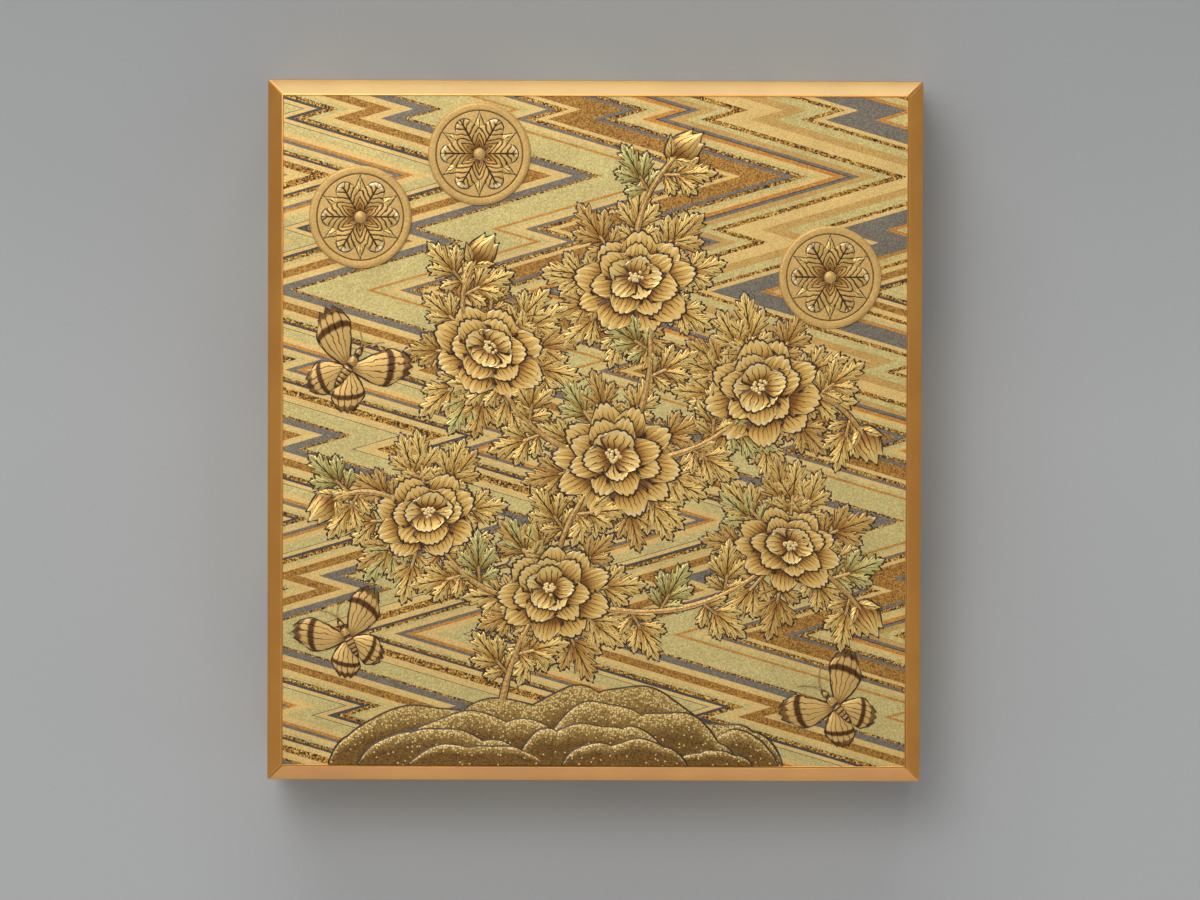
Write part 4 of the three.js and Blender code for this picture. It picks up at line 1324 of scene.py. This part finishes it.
# %% Wings and feelers
# Each wing's angle, length, half width and sweep, in degrees and shares of the span
WINGS = [
    (-52, 0.4, 0.15, -0.1), (-128, 0.4, 0.15, 0.1), (28, 0.56, 0.17, 0.12), (152, 0.56, 0.17, -0.12),
]
WING_WIDEST = 0.8
HEAD_AT = 7.5
FEELER_CURL = 5.5
FEELER_LENGTH = 6.5
FEELER_HEIGHT = 0.35


def wing_profile(along):
    """Narrow at the root, widest near the outer edge."""
    widening = 0.1 + 0.9 * sin(pi / 2 * min(1.0, along / WING_WIDEST)) ** 1.2
    return widening - 0.25 * max(0.0, along - WING_WIDEST) / (1 - WING_WIDEST)


def wing_form(root, angle, length, half, sweep, low, high):
    """A wing with a scalloped outer edge, swept forwards or back."""
    plain = tongue(root, angle, length, half, wing_profile, low, high, roundness=0.2)

    def form(across, along, below):
        spot = plain(across, along + 0.04 * cos(across * 4 * pi) * along**6, below)
        aside = turned(0, sweep * length * along**2, angle)
        return spot + Vector((aside.x, aside.y, 0))

    return form


def feeler_form(centre, turn, side):
    """A feeler on one side of the head. It gets thinner as it goes out."""

    def form(across, along, below):
        half = 0.22 * (1 - 0.4 * along) + (0.15 if below else 0)
        aside = side * FEELER_CURL * along**1.6 + across * half
        spot = centre + turned(aside, HEAD_AT + FEELER_LENGTH * along, turn)
        return Vector((spot.x, spot.y, field_top + (0 if below else FEELER_HEIGHT)))

    return form


print(f"{len(WINGS)} wings and 2 feelers to a butterfly")

# %% [markdown]
# Butterflies
# The body is an egg drawn out long and pinched at the neck and the waist, with rings cut across its tail.
# It could be three separate balls, but one mesh has no seams to hide. The grooves and the lower sides take
# the dark finish as painted shade.

# %% Butterflies
BUTTERFLY_SPAN = 34.0
# Place, size and turn in degrees
BUTTERFLIES = [((-0.79, 0.19), 1.1, -34), ((-0.79, -0.62), 0.97, 28), ((0.78, -0.82), 1.0, 42)]
# Where the body is pinched, from -1 at its tail to 1 at its head, and how far apart the rings are
NECK, WAIST, TAIL_RING = 0.56, 0.08, 0.2
# The underside and the top of the hind wings, and those of the fore wings
WING_LAYERS = ((0.0, 0.62), (0.2, 0.84))
# Half the body's width and half its length, as shares of the span
BODY_HALF = (0.045, 0.23)
BODY_RISE = 0.9
BODY_HEIGHT = 0.5


def body_width(along):
    """A round head, a plump chest and a ringed tail, in shares of an egg's width."""
    notches = 0.45 * exp(-(((along - NECK) / 0.07) ** 2)) + 0.3 * exp(-(((along - WAIST) / 0.07) ** 2))
    rings = 0.12 * sin(pi * along / TAIL_RING) ** 2 if along < WAIST else 0
    return 1.08 - notches - rings


def butterfly_body(bm):
    """An egg with its ends along Y, shaped by body_width, its grooves and lower sides dark with painted
    shade.
    """
    verts = bmesh.ops.create_uvsphere(bm, u_segments=16, v_segments=44, radius=1)["verts"]
    bmesh.ops.rotate(bm, matrix=Matrix.Rotation(-pi / 2, 3, "X"), verts=verts)
    for face in faces_of(verts):
        middle = face.calc_center_median()
        # Painted shade: the lower half and the grooves take the dark finish.
        face.material_index = DARK if middle.z < 0.5 or body_width(middle.y) < 1.0 else 2
    for vert in verts:
        width = body_width(vert.co.y)
        vert.co.x *= width
        vert.co.z *= width
    return verts


def butterfly(number, place, size, turn):
    """One butterfly. Its hind wings lie a little under its fore wings."""
    centre = on_field(place)
    turn = radians(turn)
    span = BUTTERFLY_SPAN * size
    bm = bmesh.new()
    for i, (angle, length, half, sweep) in enumerate(WINGS):
        low, high = WING_LAYERS[i // 2]
        way = turn + radians(angle)
        sheet(bm, 16, 12, wing_form(centre, way, span * length, span * half, sweep, low, high))
    for side in (-1, 1):
        sheet(bm, 2, 8, feeler_form(centre, turn, side), 2)
    body = butterfly_body(bm)
    bmesh.ops.scale(bm, vec=(span * BODY_HALF[0], span * BODY_HALF[1], BODY_RISE), verts=body)
    bmesh.ops.rotate(bm, matrix=Matrix.Rotation(turn, 3, "Z"), verts=body)
    bmesh.ops.translate(bm, vec=(*centre, field_top + BODY_HEIGHT), verts=body)
    finishes = [wing_gold, outline_and_painted_shade, stem_gold]
    make_piece(f"butterfly_{number}_gold", bm, finishes, "lid", [f"butterfly_{number}"])


for number, described in enumerate(BUTTERFLIES, 1):
    butterfly(number, *described)

# %% [markdown]
# Bank finish
# The ground of the bank is dark and finely powdered, and small squares of gold leaf are set in it one by
# one, close together along each edge. Squares could be modelled, but there are thousands. A Voronoi texture
# that measures its distances along the axes has square spots, its cell colour draws lots for each, and the
# place on the sheet says how good the odds are. The same place gives each shelf a painted highlight along
# its edge and painted shade towards its foot, under the next shelf.

# %% Bank finish
LEAF_SQUARE = 0.82
SQUARE_REACH = 0.34
BANK_POWDER = [(0, "#7f6738"), (0.5, "#b09253"), (1, "#d8b870")]
# Painted light and shade along each shelf: dark towards its foot, bright at its edge.
BANK_PAINTED_LIGHT_AND_SHADE = [(0.0, "#b79f72"), (0.55, "#ad9568"), (0.8, "#e4d7b8"), (0.97, "#fff6dc")]

bank_gold, tree, shader, where = surface("bank_with_leaf_squares", metallic=0.45, roughness=0.42, coat=0.1)
on_sheet = add(tree, "ShaderNodeUVMap", uv_map=SHEET_MAP)
place = add(tree, "ShaderNodeSeparateXYZ", {"Vector": on_sheet})
powder = add(tree, "ShaderNodeTexVoronoi", {"Vector": where, "Scale": 1 / (0.4 * MM)})
speck = add(tree, "ShaderNodeSeparateColor", {"Color": powder.outputs["Color"]})
ground = add(tree, "ShaderNodeValToRGB", {"Fac": speck.outputs["Red"]}, stops=BANK_POWDER)
squares = add(
    tree,
    "ShaderNodeTexVoronoi",
    {"Vector": where, "Scale": 1 / (LEAF_SQUARE * MM)},
    distance="CHEBYCHEV",
    voronoi_dimensions="2D",
)
lot = add(tree, "ShaderNodeSeparateColor", {"Color": squares.outputs["Color"]})
odds = add(
    tree,
    "ShaderNodeMapRange",
    {"Value": place.outputs["Y"], "From Min": 0.68, "From Max": 0.97, "To Min": 0.05, "To Max": 0.85},
)
set_here = add(tree, "ShaderNodeMath", {0: lot.outputs["Red"], 1: odds}, operation="LESS_THAN")
in_square = add(
    tree, "ShaderNodeMath", {0: squares.outputs["Distance"], 1: SQUARE_REACH}, operation="LESS_THAN",
)
leaf_square = add(tree, "ShaderNodeMath", {0: set_here, 1: in_square}, operation="MULTIPLY")
# The painted shade and painted highlight are multiplied into the powdered ground.
painted_edge_light_and_shade = add(tree, "ShaderNodeValToRGB", {"Fac": place.outputs["Y"]}, stops=BANK_PAINTED_LIGHT_AND_SHADE)
modelled = add(
    tree, "ShaderNodeMixRGB", {"Fac": 1.0, "Color1": ground, "Color2": painted_edge_light_and_shade}, blend_type="MULTIPLY",
)
bank_tone = add(
    tree, "ShaderNodeMixRGB", {"Fac": leaf_square, "Color1": modelled, "Color2": srgb("#f3d38c")},
)
dress(tree, shader, bank_tone, leaf_square, 0.8, 0.06)
print("bank finish:", bank_gold.name)

# %% [markdown]
# Garden bank
# The bank is built up highest of all. It is made of overlapping shelves, each a little smaller and higher
# than the one below, with a wandering edge that drops to a dark line, which is partly painted shade. One
# smooth hill would be simpler, but it has no edges to catch the light. The front is cut off straight along
# the border.

# %% Garden bank
MOUND_RISE = 22.0
MOUND_HALF_WIDTH = 46.0
MOUND_HEIGHT = 1.85
# Each mound's place across the field, and its reach, width and height as shares
MOUNDS = [(-0.42, 1, 1, 0.9), (0.06, 1.23, 0.92, 1), (0.36, 0.7, 0.57, 0.75)]
# Each shelf's reach, width and top as shares of the mound's, and its shift aside
SHELVES = [(1.0, 1.0, 0.4, 0.0), (0.78, 0.82, 0.62, 0.12), (0.55, 0.62, 0.82, -0.16), (0.32, 0.5, 1.0, 0.1)]
SHELF_LINE = 0.55
SHELF_OVERLAP = 0.05
EDGE_DROP = 0.12
FROM_BORDER = 0.1


def shelf_form(middle, half, rise, low, high, seed):
    """A bank's shelf: a broad tongue with a lobed edge, which drops to a dark line that is partly painted
    shade.
    """

    def form(across, along, below):
        line = SHELF_LINE if below else 0.0
        swing = 0.07 * sin(4.3 * across + seed) + 0.03 * sin(11 * across + 2 * seed)
        lobes = 0.82 + 0.18 * abs(sin(3.7 * across + 1.7 * seed)) ** 0.6
        edge = (1 - abs(across) ** 3) ** 0.7 * (lobes + swing)
        reach = max(0.4, rise * edge) + line
        x = middle + across * (half + line)
        y = -field_half.y + FROM_BORDER + reach * along
        fold = 0.1 * sin(7 * across + 8 * along + seed) * along * (1 - along)
        height = low if below else high - EDGE_DROP * along**6 + fold
        return Vector((x, y, field_top + height))

    return form


bm = bmesh.new()
for number, (at, rise, width, height) in enumerate(MOUNDS):
    below = 0.0
    for step, (reach, wide, level, aside) in enumerate(SHELVES):
        top = MOUND_HEIGHT * height * level
        half = MOUND_HALF_WIDTH * width * wide
        middle = at * field_half.x + aside * MOUND_HALF_WIDTH * width
        form = shelf_form(middle, half, MOUND_RISE * rise * reach, below, top, number * 2.1 + step * 1.3)
        sheet(bm, 56, 8, form)
        below = top - SHELF_OVERLAP
bm.normal_update()
# The cut front is ground too, and has no dark line.
for face in facing(bm, (0, -1, 0)):
    face.material_index = 0
make_piece("garden_bank_gold", bm, [bank_gold, outline_and_painted_shade], "lid", ["garden_bank"])

# %% [markdown]
# Silver
# The rims where lid and case meet are bound in silver. Silver that is handled keeps a soft shine and
# goes a little dark in patches, and where it is dark it is dull too, so one noise drives both.

# %% Silver
rim_silver, tree, shader, where = surface("handled_silver", metallic=0.95, roughness=0.28)
tarnish = add(tree, "ShaderNodeTexNoise", {"Vector": where, "Scale": 1 / (6 * MM), "Detail": 5})
silvers = [(0.3, "#8f8a80"), (0.55, "#bdb8ad"), (0.75, "#cfcabf")]
dress(tree, shader, add(tree, "ShaderNodeValToRGB", {"Fac": tarnish}, stops=silvers))
dull = add(
    tree,
    "ShaderNodeMapRange",
    {"Value": tarnish, "From Min": 0.3, "From Max": 0.7, "To Min": 0.42, "To Max": 0.24},
)
tree.links.new(dull.outputs["Result"], shader.inputs["Roughness"])
print("the rims are", rim_silver.name)

# %% [markdown]
# Slate
# The inkstone is slate, split along its bed and ground smooth, so its grain only shows as faint cloudy
# bands. A noise that is squeezed in height and drawn out in depth gives the bands, and a fine grit
# bites the ink.

# %% Slate
slate, tree, shader, where = surface("ground_slate", metallic=0, roughness=0.55)
along_bed = add(tree, "ShaderNodeMapping", {"Vector": where, "Scale": (1.0, 0.25, 3.0)})
bedding = add(tree, "ShaderNodeTexNoise", {"Vector": along_bed, "Scale": 1 / (9 * MM), "Detail": 7})
slates = [(0.3, "#26272b"), (0.6, "#34353a"), (0.8, "#45454a")]
tone = add(tree, "ShaderNodeValToRGB", {"Fac": bedding}, stops=slates)
grit = add(tree, "ShaderNodeTexNoise", {"Vector": where, "Scale": 1 / (0.35 * MM), "Detail": 3})
dress(tree, shader, tone, grit, 0.4, 0.03)
print("the stone is", slate.name)

# %% [markdown]
# Black lacquer
# The tools' handles are black lacquer, a deep mirror with a few specks of gold. The specks are the
# middles of the few cells whose tone is above a limit.

# %% Black lacquer
SPECK_LIMIT = 0.86
SPECK_REACH = 0.3

black_lacquer, tree, shader, where = surface(
    "black_lacquer_with_specks", metallic=0.1, roughness=0.16, coat=1.0,
)
specks = add(tree, "ShaderNodeTexVoronoi", {"Vector": where, "Scale": 1 / (0.9 * MM)})
lot = add(tree, "ShaderNodeSeparateColor", {"Color": specks.outputs["Color"]})
few = add(tree, "ShaderNodeMath", {0: lot.outputs["Red"], 1: SPECK_LIMIT}, operation="GREATER_THAN")
small = add(
    tree, "ShaderNodeMath", {0: specks.outputs["Distance"], 1: SPECK_REACH}, operation="LESS_THAN",
)
speck = add(tree, "ShaderNodeMath", {0: few, 1: small}, operation="MULTIPLY")
tone = add(
    tree, "ShaderNodeMixRGB", {"Fac": speck, "Color1": srgb("#120e0c"), "Color2": srgb("#c79a4e")},
)
dress(tree, shader, tone)
print("the handles are", black_lacquer.name)

# %% [markdown]
# Bamboo, hair, steel and ink
# Bamboo has fine fibres along the culm. A brush tuft is thousands of hairs of slightly different tones.
# Steel blades show the lines of the whetstone, and an ink stick is soot and glue pressed in a mould,
# black with a faint brown sheen. All four are noises that are stretched along the piece or across it.

# %% Stretched grain


def stretched_grain(name, tones, across, along, metallic, roughness, depth):
    """A grain whose size across and along Y is in millimetres."""
    material, tree, shader, where = surface(name, metallic, roughness)
    stretch = (1 / (across * MM), 1 / (along * MM), 1 / (across * MM))
    drawn = add(tree, "ShaderNodeMapping", {"Vector": where, "Scale": stretch})
    grain = add(tree, "ShaderNodeTexNoise", {"Vector": drawn, "Scale": 1.0, "Detail": 4})
    tone = add(tree, "ShaderNodeValToRGB", {"Fac": grain}, stops=tones)
    dress(tree, shader, tone, grain, 0.5, depth)
    return material


bamboo = stretched_grain(
    "smoked_bamboo", [(0.3, "#7a4d25"), (0.5, "#94652f"), (0.7, "#ab7c42")], 0.5, 30, 0, 0.4, 0.03,
)
tuft_hair = stretched_grain(
    "goat_hair", [(0.3, "#b39f7d"), (0.5, "#d8cab0"), (0.7, "#efe6d2")], 0.3, 14, 0, 0.75, 0.12,
)
whetted_steel = stretched_grain(
    "whetted_steel", [(0.3, "#8a8c8f"), (0.5, "#a3a5a8"), (0.7, "#b8babc")], 3.0, 0.35, 1.0, 0.3, 0.01,
)
pressed_ink = stretched_grain(
    "pressed_ink", [(0.3, "#141314"), (0.5, "#1b1a1b"), (0.7, "#262425")], 2.5, 6, 0, 0.42, 0.05,
)
print("also", bamboo.name, tuft_hair.name, whetted_steel.name, pressed_ink.name)

# %% [markdown]
# Frames inside the case
# The riser stands up inside the case and takes the lid. The silver bindings close the two rims. Each is
# a frame: a cuboid with its ends opened and its edges eased, because bare corners catch no light.

# %% Frames inside the case
THIN_EDGE = 0.12
RISER_WALL = 1.7
RISER_EDGE = 0.45

for body, node in (("base", "base_rim_band"), ("lid", "lid_rim_band")):
    low, high = low_high(node)
    bm = ring(case_half, low.z, high.z, WALL)
    ease(bm, CORNER, 3, upright(bm, case_half))
    ease(bm, THIN_EDGE)
    make_piece(f"{node}_silver", bm, [rim_silver], body, [node])

low, high = low_high("riser_front")
riser_half = Vector((high.x, low_high("riser_back")[1].y))
bm = ring(riser_half, low.z, high.z, RISER_WALL)
for face in facing(bm, UP):
    face.material_index = 1
ease(bm, RISER_EDGE, 3)
make_piece("riser_frame", bm, [pear_skin, border_gold], "base", walls("riser"))

# %% [markdown]
# Ink board
# The board carries the stone and the dropper. Each sits in a pocket with a little room round it, so
# that it lifts out without sticking. A pocket could be cut by a boolean. Here its outline is scored
# across the whole top and the faces inside it are sunk, which keeps the board one clean mesh.

# %% Ink board
INK_BOARD_EDGE = 0.5
POCKET_ROOM = 0.3


def open_pocket(bm, node):
    """Cuts a node's outline in the board's top, with room all round, and sinks it to the node's foot."""
    low, high = low_high(node)
    foot = low.z
    room = Vector((POCKET_ROOM, POCKET_ROOM, 0))
    low, high = low - room, high + room
    for corner in (low, high):
        bisect(bm, facing(bm, UP), (corner.x, 0, 0), (1, 0, 0))
        bisect(bm, facing(bm, UP), (0, corner.y, 0), (0, 1, 0))
    bm.normal_update()
    inside = []
    for face in facing(bm, UP):
        middle = face.calc_center_median()
        if low.x < middle.x < high.x and low.y < middle.y < high.y and middle.z > foot + 0.1:
            inside.append(face)
    sink(bm, inside, foot - inside[0].calc_center_median().z, UP)


bm = node_block("ink_board")
open_pocket(bm, "inkstone")
open_pocket(bm, "water_dropper_body")
ease(bm, INK_BOARD_EDGE)
make_piece("ink_board_lacquer", bm, [pear_skin], "ink_board", ["ink_board"])

# %% [markdown]
# Inkstone
# Ink is rubbed on the stone's flat face, and runs down a slope to the well at its back. The stone is a
# cuboid with an inset and a sunk face, and that face is cut twice across so that its back part can drop
# lower. Its upright edges are rounded most, inside and out, as they wear.

# %% Inkstone
STONE_RIM = 5.0
SLOPE_LENGTH = 13.0
WELL_LENGTH = 13.0
RUBBING_DEPTH = 1.6
WELL_DEPTH = 6.0
STONE_CORNER = 2.0
STONE_EDGE = 0.6

low, high = low_high("inkstone")
bm = node_block("inkstone")
top = facing(bm, UP)
bmesh.ops.inset_region(bm, faces=top, thickness=STONE_RIM, use_even_offset=True)
floor_faces = [f for f in sink(bm, top, -RUBBING_DEPTH, UP) if f.normal.z > 0.9]
well_starts = high.y - STONE_RIM - WELL_LENGTH
for line in (well_starts - SLOPE_LENGTH, well_starts):
    floor_faces = bisect(bm, floor_faces, (0, line, 0), (0, 1, 0))
for vert in {v for f in floor_faces for v in f.verts if v.co.y > well_starts - 0.01}:
    vert.co.z = high.z - WELL_DEPTH
bm.normal_update()
inner = [
    e for e in bm.edges
    if rise_of(e) > 1 and all(abs(v.co.x) < high.x - 1 for v in e.verts)
    and abs(e.verts[0].co.y - e.verts[1].co.y) < 0.01
]
outer = [e for e in bm.edges if rise_of(e) > 5 and all(abs(v.co.x) > high.x - 0.1 for v in e.verts)]
ease(bm, STONE_CORNER, 5, inner + outer)
ease(bm, STONE_EDGE, 3)
make_piece("inkstone_slate", bm, [slate], "inkstone", ["inkstone"])

# %% [markdown]
# Water dropper
# The dropper is a hollow silver box with two small holes: a finger on one stops the other. Its top is
# sunk a little within a frame. A hole starts as a square that is scored in the top, is brought to a
# circle point by point, and is then sunk.

# %% Water dropper
HOLE_RADIUS = 1.6
HOLE_DEPTH = 5.0
DROPPER_FRAME = 1.8
DROPPER_SUNK = 0.4
DROPPER_CORNER = 3.0
DROPPER_EDGE = 0.35


def pierce(bm, hole, level):
    """Sinks a round hole in the faces that look up and lie under a level."""

    def nearest():
        """The face that looks up and lies nearest to the hole's centre."""
        return min(facing(bm, UP), key=lambda face: (face.calc_center_median().xy - hole).length)

    for way in (Vector((1, 0, 0)), Vector((0, 1, 0))):
        for sign in (-1, 1):
            sunk = [face for face in facing(bm, UP) if face.calc_center_median().z < level]
            bisect(bm, sunk, hole.to_3d() + sign * HOLE_RADIUS * way, way)
    bm.normal_update()
    bmesh.ops.subdivide_edges(bm, edges=nearest().edges[:], cuts=3)
    round_hole = nearest()
    for vert in round_hole.verts:
        away = (vert.co.xy - hole).normalized() * HOLE_RADIUS
        vert.co.x, vert.co.y = hole.x + away.x, hole.y + away.y
    sink(bm, [round_hole], -HOLE_DEPTH, UP)


low, high = low_high("water_dropper_body")
top_z = low_high("water_dropper_top")[1].z
centre = Vector(((low.x + high.x) / 2, (low.y + high.y) / 2))
side = high.x - low.x
bm = block(side, side, low.z, top_z, centre.x, centre.y)
ease(bm, DROPPER_CORNER, 6, [e for e in bm.edges if rise_of(e) > 1])
top = facing(bm, UP)
bmesh.ops.inset_region(bm, faces=top, thickness=DROPPER_FRAME, use_even_offset=True)
sink(bm, top, -DROPPER_SUNK, UP)
for hole in (centre, centre + Vector((-side / 4, side / 4))):
    pierce(bm, hole, top_z - DROPPER_SUNK / 2)
ease(bm, DROPPER_EDGE, 3, [e for e in bm.edges if e.calc_face_angle(0) > radians(40)])
dropper_nodes = ["water_dropper_body", "water_dropper_top"]
make_piece("water_dropper_silver", bm, [rim_silver], "water_dropper", dropper_nodes)

# %% [markdown]
# Trays
# The trays hang over the ink board's sides. Their rims are gilded, as the edges of lacquer trays are,
# since the rim is what fingers wear and what the eye follows.

# %% Trays
TRAY_EDGE = 0.5
TRAY_WALL = 2.4

for side in ("left", "right"):
    tray = f"{side}_tray"
    floor_low, floor_high = low_high(f"{tray}_floor")
    rim_z = low_high(f"{tray}_wall_front")[1].z
    middle = (floor_low.x + floor_high.x) / 2
    bm = block(floor_high.x - floor_low.x, floor_high.y - floor_low.y, floor_low.z, rim_z, middle)
    top = facing(bm, UP)
    bmesh.ops.inset_region(bm, faces=top, thickness=TRAY_WALL, use_even_offset=True)
    sink(bm, top, floor_high.z - rim_z, UP)
    for face in facing(bm, UP):
        face.material_index = 1 if face.calc_center_median().z > rim_z - 1 else 0
    ease(bm, TRAY_EDGE, 3)
    nodes = [f"{tray}_floor"] + walls(f"{tray}_wall")
    make_piece(f"{tray}_lacquer", bm, [pear_skin, border_gold], tray, nodes)

# %% [markdown]
# Brushes
# A brush is a bamboo handle, a tuft and a cap that is bored to take it. Everything round is spun from
# its outline, then laid along Y where its node lies. The outline is given in shares of the node's radius
# and length, so a piece can't outgrow the model that it stands for.

# %% Brushes
TURNING_STEPS = 40


def laid(name, outline, finish, body, node):
    """A turned piece in the place of its node."""
    low, high = low_high(node)
    radius = (high.x - low.x) / 2
    length = high.y - low.y
    bm = spun([(share * radius, along * length) for share, along in outline], TURNING_STEPS)
    bmesh.ops.rotate(bm, matrix=Matrix.Rotation(-pi / 2, 3, "X"), verts=bm.verts)
    at = ((low.x + high.x) / 2, low.y, (low.z + high.z) / 2)
    bmesh.ops.translate(bm, vec=at, verts=bm.verts)
    make_piece(name, bm, [finish], body, [node])


HANDLE = [
    (0, 0), (0.5, 0), (0.74, 0.004), (0.84, 0.014), (0.86, 0.03), (0.99, 0.3), (0.99, 0.395),
    (1.0, 0.4), (0.99, 0.405), (0.99, 0.98), (0.95, 0.996), (0.88, 1.0), (0, 1),
]
TUFT = [(0, 0), (0.96, 0), (1.0, 0.16), (0.99, 0.4), (0.86, 0.62), (0.6, 0.8), (0.27, 0.93), (0, 1)]
BORE = 0.83
CAP_FLOOR = 0.957
CAP = [
    (0, CAP_FLOOR), (BORE, CAP_FLOOR), (BORE, 0.012), (0.87, 0), (0.95, 0), (0.99, 0.012), (0.99, 0.6),
    (1.0, 0.615), (0.99, 0.63), (0.98, 0.97), (0.9, 0.995), (0.8, 1.0), (0, 1.0),
]
for number in (1, 2):
    body = f"brush_{number}"
    laid(f"{body}_bamboo_handle", HANDLE, bamboo, body, f"{body}_handle")
    laid(f"{body}_hair_tuft", TUFT, tuft_hair, body, f"{body}_tuft")
    laid(f"{body}_bamboo_cap", CAP, bamboo, f"{body}_cap", f"{body}_cap")

# %% [markdown]
# Awl
# The awl pierces paper that is to be tied. Its lacquered handle swells to fill the palm, a silver collar
# keeps the wood from splitting, and the spike thins to a point. All three are turned like the brushes.

# %% Awl
AWL_HANDLE = [
    (0, 0), (0.6, 0), (0.85, 0.008), (0.96, 0.025), (1.0, 0.08), (1.0, 0.4), (0.8, 0.8), (0.7, 0.99),
    (0.66, 1.0), (0, 1.0),
]
AWL_COLLAR = [(0, 0), (0.97, 0), (1.0, 0.06), (0.96, 0.3), (0.9, 0.36), (0.86, 0.9), (0.78, 1.0), (0, 1.0)]
AWL_SPIKE = [(0, 0), (1.0, 0), (0.97, 0.3), (0.8, 0.62), (0.45, 0.88), (0.12, 0.985), (0, 1.0)]
laid("awl_lacquer_handle", AWL_HANDLE, black_lacquer, "awl", "awl_handle")
laid("awl_silver_collar", AWL_COLLAR, rim_silver, "awl", "awl_collar")
laid("awl_steel_spike", AWL_SPIKE, whetted_steel, "awl", "awl_spike")

# %% [markdown]
# Knife
# The paper knife's handle is a slim lacquered bar with a silver collar. Its blade is ground from both
# faces to an edge: a flat bar, cut off at a slant, whose cutting side is pinched to a line. It is shaded
# almost flat, so that the ground faces meet in a crisp line.

# %% Knife
HANDLE_EDGE = 1.4
COLLAR_EDGE = 0.9
BLADE_SHOULDER = 0.7
GROUND_SHARE = 0.4
CUTTING_EDGE = 0.12

bm = node_block("knife_handle")
ease(bm, HANDLE_EDGE, 5)
make_piece("knife_lacquer_handle", bm, [black_lacquer], "knife", ["knife_handle"])
bm = node_block("knife_collar")
ease(bm, COLLAR_EDGE, 4)
make_piece("knife_silver_collar", bm, [rim_silver], "knife", ["knife_collar"])

low, high = low_high("knife_blade")
bm = node_block("knife_blade")
shoulder = Vector((high.x, low.y + BLADE_SHOULDER * (high.y - low.y), 0))
tip = Vector((low.x, high.y, 0))
slant = (tip - shoulder).cross(UP)
bmesh.ops.bisect_plane(
    bm, geom=bm.verts[:] + bm.edges[:] + bm.faces[:], dist=HAIR, plane_co=shoulder, plane_no=slant,
    clear_outer=True,
)
bmesh.ops.edgeloop_fill(bm, edges=[e for e in bm.edges if e.is_boundary])
ground_line = high.x - GROUND_SHARE * (high.x - low.x)
bisect(bm, bm.faces[:], (ground_line, 0, 0), (1, 0, 0))
middle_z = (low.z + high.z) / 2
for vert in bm.verts:
    if vert.co.x > high.x - 0.01:
        vert.co.z = middle_z + CUTTING_EDGE * (vert.co.z - middle_z)
make_piece("knife_steel_blade", bm, [whetted_steel], "knife", ["knife_blade"], smooth=5)

# %% [markdown]
# Ink stick
# An ink stick is pressed in a mould that leaves a sunk panel, and the step round the panel is gilded.
# The panel could be cut as a groove only, but sunk whole it catches the light like a pressed one.

# %% Ink stick
MOULD_FRAME = 2.2
MOULD_DEPTH = 0.5
STICK_EDGE = 0.45

bm = node_block("ink_stick")
top = facing(bm, UP)
bmesh.ops.inset_region(bm, faces=top, thickness=MOULD_FRAME, use_even_offset=True)
for face in sink(bm, top, -MOULD_DEPTH, UP):
    face.material_index = 0 if face.normal.z > 0.9 else 1
ease(bm, STICK_EDGE, 3)
make_piece("ink_stick_pressed", bm, [pressed_ink, border_gold], "ink_stick", ["ink_stick"])

# %% [markdown]
# Nodes that stay
# The floor board and the brush rest have the right shape already, and modelling them again would add
# nothing. They only get a finish: pear skin for the board, and black lacquer for the brush rest.

# %% Nodes that stay
KEPT = {"base_floor_board": pear_skin, "brush_rest": black_lacquer}
for node, finish in KEPT.items():
    for material_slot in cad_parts[node].material_slots:
        material_slot.material = finish
print("kept from the model:", ", ".join(KEPT))

# %% [markdown]
# Finish
# Both sizes, of the imported model and of the visual one, are the cell's last value.

# %% Finish
low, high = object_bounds()
boxes = {"cad": cad_bounds, "visual": (low, high)}
{name: [list(map(float, corner)) for corner in box] for name, box in boxes.items()}
